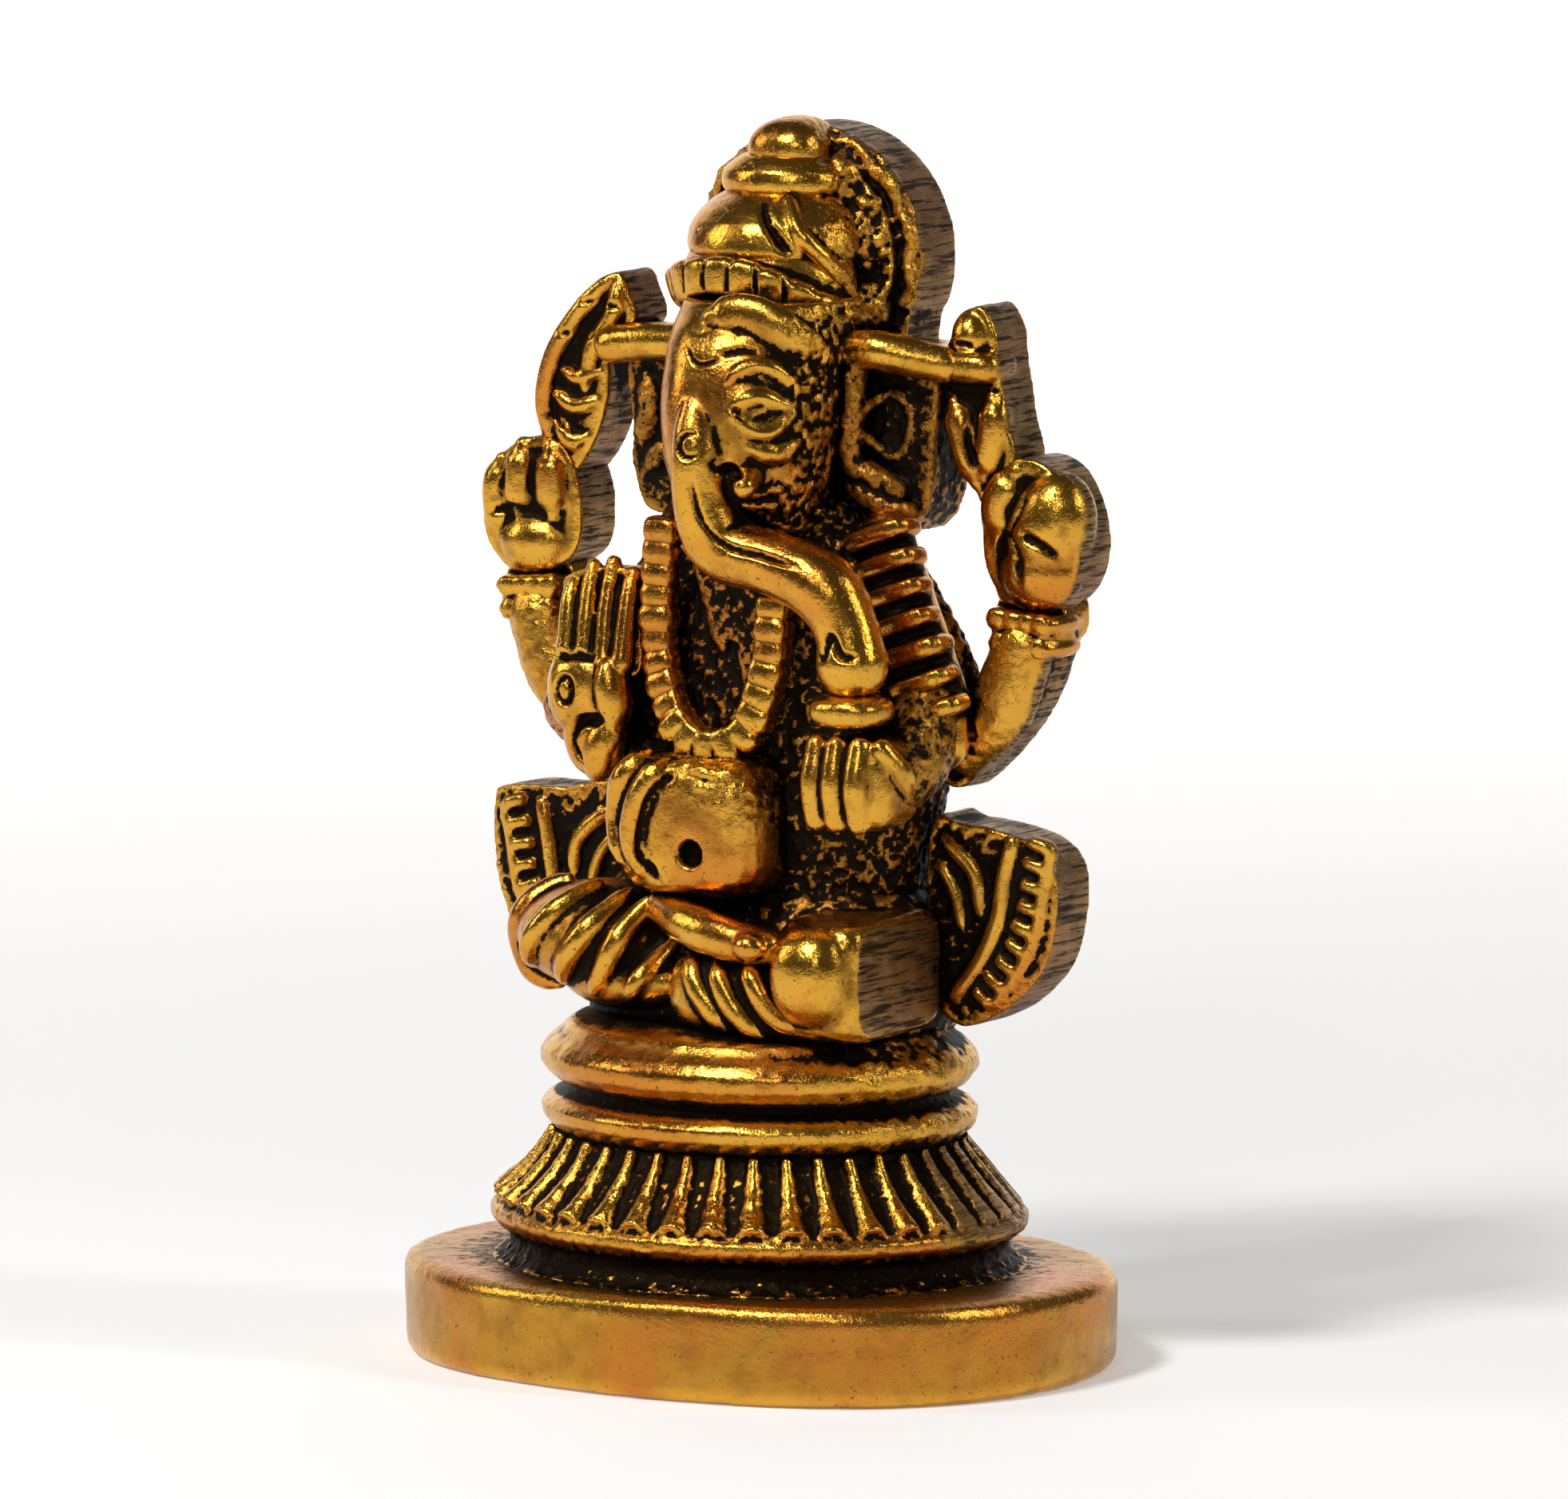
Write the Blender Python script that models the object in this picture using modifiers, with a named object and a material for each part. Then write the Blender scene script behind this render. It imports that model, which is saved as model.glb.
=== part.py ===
"""Small seated elephant-headed figure in cast brass, on a stepped oval pedestal.

The figure faces -Y, +Z is up, +X is the viewer's right, and the origin is at the middle of the
underside. Sizes below are in millimetres; MM turns them into Blender's metres.
"""
import math

import bmesh
import bpy
from mathutils import Vector

MM = 0.001
GAP = 0.3                       # clearance between two neighbouring pieces
WELD = 0.002                    # points of a curve's caps nearer than this are one point

# Pedestal: half width, half depth and heights of each course
SLAB_HALF_WIDTH = 22.2
SLAB_HALF_DEPTH = 17.5
SLAB_TOP = 6.1
SLAB_EDGE = 0.5                 # rounding of the slab's edges
SLAB_POWER = 2.3                # superellipse power of the slab's outline
SKIRT_TOP = 13.9
SKIRT_NECK_HALF_WIDTH = 15.4
SKIRT_RIM_HALF_WIDTH = 17.5
SKIRT_TOP_HALF_WIDTH = 13.4
RING_HALF_WIDTH = 13.7
RING_LIP = 1.7                  # how far a ring stands out past the groove beside it
LOWER_RING_TOP = 17.1
UPPER_RING_TOP = 20.7
PEDESTAL_DEPTH_RATIO = 0.872    # depth over width of the skirt and rings
SKIRT_NECK_HEIGHT = 1.6         # plain neck under the skirt's rim
SKIRT_RIM_LOW = 2.4             # lower and upper edge of the rim, above the skirt's underside
SKIRT_RIM_HIGH = 3.2

# Depth planes of the relief, front (-Y) to back (+Y)
BOLSTER_FRONT = 1.2
BOLSTER_BACK = 5.8
ARM_FRONT = 2.0
ARM_BACK = 6.4
BANGLE_PROUD = 0.6              # how far a bangle stands out in front of its arm
EAR_FRONT = 1.2
LINK_BAR_FRONT = 0.8
LEFT_BAR_STRETCH = 1.06         # the axe stands further out than the goad
FIGURE_FLAT_BACK = 5.5          # where the head, ears and crown stop, in front of the halo
HALO_FRONT = 5.8
HALO_BACK = 9.9

# Head and crown
HEAD_BOTTOM = 51.8
HEAD_TOP = 64.7
CROWN_BAND_TOP = 67.2
CROWN_DOME_TOP = 70.9
CROWN_RING_TOP = 72.9
FIGURE_TOP = 75.0
HALO_RADIUS = 8.0
HALO_CENTRE_Z = FIGURE_TOP - HALO_RADIUS
HALO_STEM_HALF_WIDTH = 6.8

# Finish of each group of pieces: base colour, roughness
POLISHED = ((0.74, 0.50, 0.14), 0.28)
MATT = ((0.42, 0.33, 0.19), 0.55)
FILED = ((0.50, 0.36, 0.20), 0.45)
WARM = ((0.68, 0.42, 0.11), 0.34)

PARTS = "seated_elephant_headed_figure"
CUTTERS = "cutters"


def clear_scene():
    for old in list(bpy.data.objects):
        bpy.data.objects.remove(old, do_unlink=True)
    for name in (PARTS, CUTTERS):
        collection = bpy.data.collections.new(name)
        bpy.context.scene.collection.children.link(collection)


def brass(name, finish):
    """Principled brass material in one of the casting's finishes."""
    colour, roughness = finish
    material = bpy.data.materials.new(name)
    material.use_nodes = True
    shader = material.node_tree.nodes["Principled BSDF"]
    shader.inputs["Base Color"].default_value = (*colour, 1.0)
    shader.inputs["Metallic"].default_value = 1.0
    shader.inputs["Roughness"].default_value = roughness
    material.diffuse_color = (*colour, 1.0)
    return material


def add_part(name, mesh, finish):
    mesh.materials.clear()
    mesh.materials.append(brass(name + "_brass", finish))
    mesh.shade_smooth()
    mesh.set_sharp_from_angle(angle=math.radians(40))
    part = bpy.data.objects.new(name, mesh)
    bpy.data.collections[PARTS].objects.link(part)
    return part


def superellipse(half_width, half_depth, power, count):
    """Points round a superellipse, counter-clockwise from +X."""
    points = []
    for step in range(count):
        angle = 2 * math.pi * step / count
        c, s = math.cos(angle), math.sin(angle)
        x = half_width * math.copysign(abs(c) ** (2 / power), c)
        y = half_depth * math.copysign(abs(s) ** (2 / power), s)
        points.append((x, y))
    return points


def turned(name, profile, finish, steps=48):
    """Oval course of the pedestal: a profile from top to bottom, turned and squeezed in depth."""
    mesh = bpy.data.meshes.new(name)
    points = [(x * MM, 0, z * MM) for x, z in profile]
    mesh.from_pydata(points, [(i, i + 1) for i in range(len(points) - 1)], [])
    part = add_part(name, mesh, finish)
    screw = part.modifiers.new("turn", "SCREW")
    screw.steps = screw.render_steps = steps
    screw.use_merge_vertices = True
    screw.merge_threshold = 0.00001
    part.scale.y = PEDESTAL_DEPTH_RATIO
    return part


def stack(name, rings, finish, count=24, flat_back=None):
    """Loft through level rings (z, centre x, centre y, half width, half depth, power)."""
    form = bmesh.new()
    loops = []
    for z, cx, cy, half_width, half_depth, power in rings:
        outline = superellipse(half_width, half_depth, power, count)
        loops.append([form.verts.new(((cx + x) * MM, (cy + y) * MM, z * MM)) for x, y in outline])
    for low, high in zip(loops, loops[1:]):
        for i in range(count):
            j = (i + 1) % count
            form.faces.new((low[i], low[j], high[j], high[i]))
    form.faces.new(list(reversed(loops[0])))
    form.faces.new(loops[-1])
    if flat_back is not None:
        trim(form, (0, flat_back, 0), (0, 1, 0))
    mesh = bpy.data.meshes.new(name)
    form.to_mesh(mesh)
    form.free()
    return add_part(name, mesh, finish)


def trim(form, point, normal):
    """Cut away what lies beyond a plane and close the cut."""
    everything = form.verts[:] + form.edges[:] + form.faces[:]
    cut = bmesh.ops.bisect_plane(form, geom=everything, dist=1e-7, plane_co=Vector(point) * MM,
                                 plane_no=normal, clear_outer=True)
    rim = [item for item in cut["geom_cut"] if isinstance(item, bmesh.types.BMEdge)]
    bmesh.ops.edgeloop_fill(form, edges=rim)
    bmesh.ops.recalc_face_normals(form, faces=form.faces)


def pebble(name, centre, radii, finish, segments=20, rings=12, flat_back=None):
    """Ellipsoid form, cut flat behind where it meets the body."""
    form = bmesh.new()
    bmesh.ops.create_uvsphere(form, u_segments=segments, v_segments=rings, radius=1.0)
    for vert in form.verts:
        vert.co = Vector([(c + r * v) * MM for c, r, v in zip(centre, radii, vert.co)])
    if flat_back is not None:
        trim(form, (0, flat_back, 0), (0, 1, 0))
    mesh = bpy.data.meshes.new(name)
    form.to_mesh(mesh)
    form.free()
    return add_part(name, mesh, finish)


def solid_from_curve(name, curve, finish, turn=0.0, place=(0, 0, 0)):
    """Turn a curve into a welded mesh, place it in the model and drop the curve."""
    holder = bpy.data.objects.new(name + "_curve", curve)
    bpy.data.collections[PARTS].objects.link(holder)
    holder.rotation_euler.x = turn
    holder.location = Vector(place) * MM
    bpy.context.view_layer.update()
    evaluated = holder.evaluated_get(bpy.context.evaluated_depsgraph_get())
    mesh = bpy.data.meshes.new_from_object(evaluated)
    mesh.name = name
    mesh.transform(holder.matrix_world)
    form = bmesh.new()
    form.from_mesh(mesh)
    bmesh.ops.remove_doubles(form, verts=form.verts, dist=WELD * MM)
    bmesh.ops.recalc_face_normals(form, faces=form.faces)
    form.to_mesh(mesh)
    form.free()
    bpy.data.objects.remove(holder)
    bpy.data.curves.remove(curve)
    return add_part(name, mesh, finish)


def plate(name, outline, front, back, finish, edge=0.5, detail=3):
    """Flat cast plate: a smooth outline in X and Z, given thickness in Y with eased edges."""
    curve = bpy.data.curves.new(name, "CURVE")
    curve.dimensions = "2D"
    curve.fill_mode = "BOTH"
    curve.resolution_u = detail
    curve.render_resolution_u = 0
    curve.bevel_depth = edge * MM
    curve.bevel_resolution = 1
    curve.offset = -edge * MM
    curve.extrude = ((back - front) / 2 - edge) * MM
    spline = curve.splines.new("BEZIER")
    spline.bezier_points.add(len(outline) - 1)
    for knot, (x, z) in zip(spline.bezier_points, outline):
        knot.co = (x * MM, z * MM, 0)
        knot.handle_left_type = knot.handle_right_type = "AUTO"
    spline.use_cyclic_u = True
    return solid_from_curve(name, curve, finish, math.pi / 2, (0, (front + back) / 2, 0))


def tube(name, route, finish, sides=2, detail=4):
    """Round bar along a smooth route of (x, y, z, radius)."""
    curve = bpy.data.curves.new(name, "CURVE")
    curve.dimensions = "3D"
    curve.resolution_u = detail
    curve.render_resolution_u = 0
    curve.bevel_depth = MM
    curve.bevel_resolution = sides
    curve.use_fill_caps = True
    spline = curve.splines.new("BEZIER")
    spline.bezier_points.add(len(route) - 1)
    for knot, (x, y, z, radius) in zip(spline.bezier_points, route):
        knot.co = (x * MM, y * MM, z * MM)
        knot.radius = radius
        knot.handle_left_type = knot.handle_right_type = "AUTO"
    return solid_from_curve(name, curve, finish)


def grown_cutter(neighbour):
    """Copy of a piece, thicker by the clearance all round, to cut its neighbours with."""
    bpy.context.view_layer.update()
    evaluated = neighbour.evaluated_get(bpy.context.evaluated_depsgraph_get())
    form = bmesh.new()
    form.from_mesh(evaluated.to_mesh())
    form.transform(neighbour.matrix_world)
    form.normal_update()
    offsets = [vert.normal * (GAP * MM * min(vert.calc_shell_factor(), 1.8)) for vert in form.verts]
    for vert, offset in zip(form.verts, offsets):
        vert.co += offset
    mesh = bpy.data.meshes.new(neighbour.name + "_clearance")
    form.to_mesh(mesh)
    form.free()
    evaluated.to_mesh_clear()
    cutter = bpy.data.objects.new(mesh.name, mesh)
    cutter.hide_render = True
    cutter.display_type = "WIRE"
    bpy.data.collections[CUTTERS].objects.link(cutter)
    return cutter


def clear_of(part, *neighbours):
    """Cut a piece back to the clearance from neighbours that are already made."""
    for neighbour in neighbours:
        cutter = bpy.data.objects.get(neighbour.name + "_clearance") or grown_cutter(neighbour)
        cut = part.modifiers.new("clear_" + neighbour.name, "BOOLEAN")
        cut.operation = "DIFFERENCE"
        cut.solver = "EXACT"
        cut.object = cutter
    return part


def mirrored(outline):
    return [(-x, z) for x, z in reversed(outline)]


def ring_profile(bottom, top, half_width, lip):
    """Half-round lip between two flat faces, from the top down."""
    height = top - bottom
    points = [(0, top)]
    for step in range(7):
        angle = math.pi * (0.5 - step / 6)
        points.append((half_width - lip + lip * math.cos(angle),
                       bottom + height / 2 + height / 2 * math.sin(angle)))
    points.append((0, bottom))
    return points


def make_pedestal():
    """Slab, flared skirt and two ring courses, one on top of the other."""
    curve = bpy.data.curves.new("base_slab", "CURVE")
    curve.dimensions = "2D"
    curve.fill_mode = "BOTH"
    curve.bevel_depth = SLAB_EDGE * MM
    curve.bevel_resolution = 1
    curve.extrude = (SLAB_TOP / 2 - SLAB_EDGE) * MM
    outline = superellipse(SLAB_HALF_WIDTH - SLAB_EDGE, SLAB_HALF_DEPTH - SLAB_EDGE,
                           SLAB_POWER, 64)
    spline = curve.splines.new("POLY")
    spline.points.add(len(outline) - 1)
    for knot, (x, y) in zip(spline.points, outline):
        knot.co = (x * MM, y * MM, 0, 1)
    spline.use_cyclic_u = True
    solid_from_curve("base_slab", curve, MATT, place=(0, 0, SLAB_TOP / 2))

    bottom = SLAB_TOP + GAP
    turned("lotus_skirt", [
        (0, SKIRT_TOP), (SKIRT_TOP_HALF_WIDTH, SKIRT_TOP),
        (SKIRT_RIM_HALF_WIDTH, bottom + SKIRT_RIM_HIGH),
        (SKIRT_RIM_HALF_WIDTH, bottom + SKIRT_RIM_LOW),
        (SKIRT_NECK_HALF_WIDTH, bottom + SKIRT_NECK_HEIGHT),
        (SKIRT_NECK_HALF_WIDTH, bottom), (0, bottom)], POLISHED, steps=64)
    turned("lower_ring", ring_profile(SKIRT_TOP + GAP, LOWER_RING_TOP, RING_HALF_WIDTH, RING_LIP),
           POLISHED)
    turned("upper_ring", ring_profile(LOWER_RING_TOP + GAP, UPPER_RING_TOP, RING_HALF_WIDTH,
                                      RING_LIP), POLISHED)


def make_legs():
    """Crossed legs: the seat behind, two knees, the shin across the front and the cloth under it."""
    bottom = UPPER_RING_TOP + GAP
    seat = stack("seat", [
        (bottom, 0, 2.0, 11.0, 7.0, 2.6), (24.5, 0, 2.0, 11.6, 7.2, 2.6),
        (28.2, 0, 2.0, 10.8, 6.6, 2.6)], WARM)
    left_leg = stack("left_leg", [
        (bottom, -7.6, -5.4, 4.6, 4.0, 2.2), (22.6, -8.0, -5.0, 5.6, 5.2, 2.2),
        (25.4, -8.2, -4.6, 5.9, 5.6, 2.2), (28.0, -7.8, -4.2, 5.2, 4.8, 2.2),
        (29.6, -7.0, -3.6, 3.4, 3.0, 2.2)], POLISHED)
    right_leg = stack("right_leg", [
        (bottom, 8.6, -4.4, 3.5, 5.4, 2.8), (23.0, 8.7, -4.3, 4.0, 6.1, 2.8),
        (26.2, 8.7, -4.1, 3.9, 6.0, 2.8), (28.6, 8.4, -3.4, 3.0, 4.6, 2.4)], POLISHED)
    clear_of(left_leg, seat)
    clear_of(right_leg, seat)
    foot = tube("crossed_foot", [
        (-2.4, -7.4, 27.2, 1.3), (0.6, -9.0, 27.0, 1.5), (4.4, -9.6, 26.6, 1.5),
        (7.0, -9.2, 26.4, 1.2)], POLISHED)
    clear_of(foot, seat, left_leg, right_leg)
    pleats = stack("pleat_fan", [
        (bottom, 2.2, -7.4, 5.6, 3.0, 2.4), (23.0, 2.0, -7.6, 5.0, 3.2, 2.4),
        (25.2, 1.6, -7.4, 3.6, 2.6, 2.4)], POLISHED)
    clear_of(pleats, seat, left_leg, right_leg, foot)
    return seat, left_leg, right_leg, foot


def make_bolsters(neighbours):
    """Flared cushion ends that stand out behind the knees on both sides."""
    outline = [(11.6, 33.2), (15.8, 33.4), (19.9, 32.8), (20.1, 28.4), (19.0, 25.0),
               (17.2, 22.4), (14.6, 21.5), (12.4, 22.2), (11.4, 27.6)]
    right = plate("right_bolster", outline, BOLSTER_FRONT, BOLSTER_BACK, FILED)
    left = plate("left_bolster", mirrored(outline), BOLSTER_FRONT, BOLSTER_BACK, FILED)
    clear_of(right, *neighbours)
    clear_of(left, *neighbours)


def make_torso(legs):
    seat, left_leg, right_leg, foot = legs
    torso = stack("torso", [
        (28.5, 0, 2.0, 9.8, 6.0, 2.6), (33.0, 0.2, 2.0, 10.8, 6.3, 2.6),
        (38.0, 0.2, 2.0, 12.2, 6.5, 2.6), (43.0, 0.1, 2.2, 11.4, 6.3, 2.6),
        (48.0, 0, 2.6, 10.0, 5.9, 2.6), (51.5, 0, 3.0, 7.8, 5.0, 2.4)], WARM)
    belly = pebble("belly", (0.4, -3.4, 33.6), (5.9, 6.2, 4.9), POLISHED)
    clear_of(torso, left_leg, right_leg)
    clear_of(belly, torso, seat, left_leg, right_leg, foot)
    return torso, belly


def make_raised_arms(torso):
    """The rear pair of arms, with bangle, fist and what each fist holds."""
    arm_outline = [(14.3, 44.0), (17.4, 44.2), (20.2, 43.5), (19.5, 41.4), (17.9, 39.4),
                   (15.2, 37.2), (12.6, 36.2), (11.4, 38.4), (12.4, 41.4)]
    bangle_outline = [(15.0, 44.7), (15.0, 46.5), (17.9, 46.8), (20.5, 46.1), (20.4, 44.3),
                      (17.8, 44.6)]
    bangle_back = ARM_BACK + 0.2
    right_arm = plate("right_raised_arm", arm_outline, ARM_FRONT, ARM_BACK, FILED)
    left_arm = plate("left_raised_arm", mirrored(arm_outline), ARM_FRONT, ARM_BACK, FILED)
    bangle_front = ARM_FRONT - BANGLE_PROUD
    right_bangle = plate("right_bangle", bangle_outline, bangle_front, bangle_back, POLISHED)
    left_bangle = plate("left_bangle", mirrored(bangle_outline), bangle_front, bangle_back,
                        POLISHED)
    right_fist = pebble("right_fist", (17.7, 4.0, 51.4), (3.5, 3.2, 4.7), POLISHED)
    left_fist = pebble("left_fist", (-17.8, 4.0, 50.9), (3.7, 3.2, 4.3), POLISHED)
    clear_of(right_arm, torso, right_bangle)
    clear_of(left_arm, torso, left_bangle)
    clear_of(right_fist, right_bangle)
    clear_of(left_fist, left_bangle)

    goad = plate("right_goad", [
        (13.8, 64.8), (15.2, 63.6), (15.7, 60.4), (16.3, 56.8), (15.4, 53.6), (14.0, 52.9),
        (12.8, 55.6), (11.9, 58.6), (11.5, 61.6), (12.4, 63.4)], ARM_FRONT, ARM_BACK, POLISHED)
    axe = plate("left_axe", [
        (-12.0, 65.5), (-11.0, 64.0), (-12.3, 61.8), (-12.6, 58.6), (-13.4, 55.4), (-14.8, 53.2),
        (-17.2, 54.8), (-17.7, 57.6), (-16.7, 61.0), (-14.4, 64.0)], ARM_FRONT, ARM_BACK,
        POLISHED)
    clear_of(goad, right_fist)
    clear_of(axe, left_fist)
    return goad, axe


def make_head(torso):
    head = stack("head", [
        (HEAD_BOTTOM, 0, -0.2, 5.4, 5.6, 2.2), (55.0, 0, -1.2, 6.5, 7.0, 2.2),
        (59.0, 0, -1.5, 7.1, 7.2, 2.2), (62.4, 0, -0.8, 6.9, 6.4, 2.2),
        (HEAD_TOP, 0, 0.6, 6.3, 5.2, 2.2)], POLISHED, flat_back=FIGURE_FLAT_BACK)
    trunk = tube("trunk", [
        (0.1, -8.6, 59.8, 1.0), (0.2, -8.3, 56.2, 1.6), (0.4, -7.3, 52.6, 1.9),
        (2.2, -6.3, 50.3, 1.9), (5.8, -6.0, 49.9, 2.0), (8.8, -5.8, 48.2, 2.2),
        (10.1, -5.7, 45.6, 2.1), (10.2, -5.7, 43.2, 1.7)], POLISHED, sides=3)
    tusk = tube("tusk", [(2.8, -4.8, 55.6, 1.2), (3.6, -8.0, 54.3, 0.7)], POLISHED)
    clear_of(head, torso)
    clear_of(trunk, torso, head)
    clear_of(tusk, head, trunk)

    ear_outline = [(5.4, 59.6), (8.0, 60.2), (10.8, 59.6), (11.2, 56.4), (10.7, 53.2),
                   (9.2, 51.4), (7.0, 52.0), (5.4, 55.2)]
    right_ear = plate("right_ear", ear_outline, EAR_FRONT, FIGURE_FLAT_BACK, WARM)
    left_ear = plate("left_ear", mirrored(ear_outline), EAR_FRONT, FIGURE_FLAT_BACK, WARM)
    clear_of(right_ear, head, torso)
    clear_of(left_ear, head, torso)
    return head, trunk


def make_link_bars(head, goad, axe):
    """Short bars of metal that tie the goad and the axe to the head."""
    bar_outline = [(6.2, 60.9), (6.4, 62.6), (9.0, 62.9), (11.9, 62.6), (11.9, 60.7), (9.0, 60.6)]
    right = plate("right_link_bar", bar_outline, LINK_BAR_FRONT, FIGURE_FLAT_BACK, POLISHED)
    left = plate("left_link_bar", [(x * LEFT_BAR_STRETCH, z) for x, z in mirrored(bar_outline)],
                 LINK_BAR_FRONT, FIGURE_FLAT_BACK, POLISHED)
    clear_of(right, head, goad)
    clear_of(left, head, axe)


def make_crown():
    """Four half-round tiers, each smaller and further back, in front of the halo."""
    back = FIGURE_FLAT_BACK
    stack("crown_band", [
        (HEAD_TOP + GAP, 0, 2.6, 6.9, 6.5, 2.0), (66.0, 0, 2.8, 7.2, 6.8, 2.0),
        (CROWN_BAND_TOP, 0, 3.0, 6.6, 6.2, 2.0)], POLISHED, flat_back=back)
    stack("crown_dome", [
        (CROWN_BAND_TOP + GAP, 0, 3.6, 6.2, 6.2, 2.0), (69.2, 0, 3.9, 5.9, 5.8, 2.0),
        (CROWN_DOME_TOP, 0, 4.4, 4.2, 4.2, 2.0)], POLISHED, flat_back=back)
    stack("crown_ring", [
        (CROWN_DOME_TOP + GAP, 0, 4.8, 4.0, 4.0, 2.0), (72.0, 0, 4.9, 4.3, 4.2, 2.0),
        (CROWN_RING_TOP, 0, 4.9, 3.4, 3.4, 2.0)], POLISHED, flat_back=back)
    stack("crown_finial", [
        (CROWN_RING_TOP + GAP, 0, 4.5, 2.6, 2.5, 2.0), (74.2, 0, 4.5, 2.1, 2.0, 2.0),
        (FIGURE_TOP, 0, 4.5, 0.9, 0.8, 2.0)], POLISHED, count=20, flat_back=back)


def make_halo(torso):
    """Round disc behind the crown on a broad stem that runs down to the shoulders."""
    reach = math.acos(HALO_STEM_HALF_WIDTH / HALO_RADIUS)
    start, end = -reach, math.pi + reach
    steps = 12
    outline = []
    for step in range(steps + 1):
        angle = start + (end - start) * step / steps
        outline.append((HALO_RADIUS * math.cos(angle),
                        HALO_CENTRE_Z + HALO_RADIUS * math.sin(angle)))
    outline += [(-HALO_STEM_HALF_WIDTH, 57.0), (-HALO_STEM_HALF_WIDTH, HEAD_BOTTOM + 1.2),
                (0, HEAD_BOTTOM + 0.6), (HALO_STEM_HALF_WIDTH, HEAD_BOTTOM + 1.2),
                (HALO_STEM_HALF_WIDTH, 57.0)]
    halo = plate("halo", outline, HALO_FRONT, HALO_BACK, FILED, detail=2)
    clear_of(halo, torso)


def make_front_pieces(torso, belly, head, trunk):
    """Garland, shawl, the front pair of arms with their hands, and the sweet at the trunk."""
    arm = tube("right_front_arm", [
        (12.0, -0.4, 40.6, 2.0), (12.3, -2.0, 37.8, 2.2), (11.6, -4.2, 36.6, 2.2)], WARM)
    palm_arm = tube("left_front_arm", [
        (-11.2, -1.2, 41.2, 2.1), (-10.8, -3.4, 39.6, 2.1), (-9.4, -5.2, 39.8, 1.9)], WARM)
    hand = stack("right_front_hand", [
        (34.0, 10.1, -5.6, 2.3, 2.3, 3.0), (35.2, 10.3, -5.7, 3.0, 2.8, 3.0),
        (38.2, 10.5, -5.7, 3.0, 2.8, 3.0), (39.4, 10.5, -5.5, 2.3, 2.3, 3.0)], POLISHED, count=20)
    sweet = stack("sweet", [
        (39.7, 10.2, -5.9, 1.9, 2.0, 2.0), (40.7, 10.2, -6.0, 2.3, 2.4, 2.0),
        (41.8, 10.2, -5.9, 1.9, 2.0, 2.0)], POLISHED, count=16)
    palm = pebble("left_open_palm", (-8.0, -6.4, 42.4), (3.7, 2.2, 6.7), POLISHED)
    clear_of(palm, torso, belly)
    clear_of(hand, torso, belly)
    clear_of(sweet, torso, trunk)
    clear_of(arm, torso, hand)
    clear_of(palm_arm, torso, palm)

    garland = tube("garland", [
        (-3.9, -4.9, 50.6, 0.9), (-4.1, -5.1, 46.6, 1.0), (-3.6, -5.3, 42.6, 1.0),
        (-1.8, -5.6, 39.5, 1.1), (0.5, -5.8, 38.6, 1.1), (2.8, -5.6, 39.9, 1.1),
        (4.1, -5.3, 43.0, 1.0), (4.3, -5.1, 46.6, 0.9)], POLISHED)
    clear_of(garland, torso, belly, palm, trunk, head)
    shawl = tube("shoulder_shawl", [
        (7.9, -1.2, 50.0, 1.6), (9.2, -2.0, 46.6, 1.9), (10.6, -2.4, 43.2, 1.9)], POLISHED)
    clear_of(shawl, torso, trunk, arm)


def main():
    clear_scene()
    make_pedestal()
    legs = make_legs()
    torso, belly = make_torso(legs)
    make_bolsters((*legs[:3], torso))
    goad, axe = make_raised_arms(torso)
    head, trunk = make_head(torso)
    make_link_bars(head, goad, axe)
    make_crown()
    make_halo(torso)
    make_front_pieces(torso, belly, head, trunk)
    bpy.context.view_layer.update()


main()
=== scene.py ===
"""Looks of a small brass figure: a seated, four-armed, elephant-headed deity on an oval pedestal."""

import math

import bmesh
import bpy
import numpy as np
from bpy.props import FloatProperty, FloatVectorProperty, IntProperty, PointerProperty
from mathutils import Matrix, Vector
from mathutils.bvhtree import BVHTree


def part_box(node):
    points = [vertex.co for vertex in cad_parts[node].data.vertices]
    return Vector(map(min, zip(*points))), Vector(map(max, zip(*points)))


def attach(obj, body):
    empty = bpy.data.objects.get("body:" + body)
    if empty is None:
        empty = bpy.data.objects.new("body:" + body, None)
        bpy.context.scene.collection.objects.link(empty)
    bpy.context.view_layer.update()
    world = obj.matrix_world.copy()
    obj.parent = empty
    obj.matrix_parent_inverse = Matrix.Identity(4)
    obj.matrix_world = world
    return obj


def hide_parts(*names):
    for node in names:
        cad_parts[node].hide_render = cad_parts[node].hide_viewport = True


bl_info = {
    "name": "Brass Seated Figure",
    "version": (1, 0, 0),
    "blender": (4, 5, 0),
    "location": "View3D > Sidebar > Brass Figure",
    "description": "Builds the cast relief, patina and stage of a small brass seated figure",
    "category": "Object",
}

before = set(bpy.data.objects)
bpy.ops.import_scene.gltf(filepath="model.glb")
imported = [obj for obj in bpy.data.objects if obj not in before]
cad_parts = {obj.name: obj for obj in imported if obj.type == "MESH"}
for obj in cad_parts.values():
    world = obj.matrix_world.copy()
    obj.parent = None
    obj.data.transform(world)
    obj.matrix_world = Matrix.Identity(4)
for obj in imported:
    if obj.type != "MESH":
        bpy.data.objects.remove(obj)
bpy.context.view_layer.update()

MM = 0.001
COARSE = 1.0     # coarser skin while trying things
SKINS = {}                              # piece name -> Skin, until the brass is aged
UNEVEN = 0.045                          # millimetres by which a cast surface wanders
STRAY = 6.0                             # millimetres by which a piece may pass its CAD box


# ---------------------------------------------------------------- settings

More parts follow.
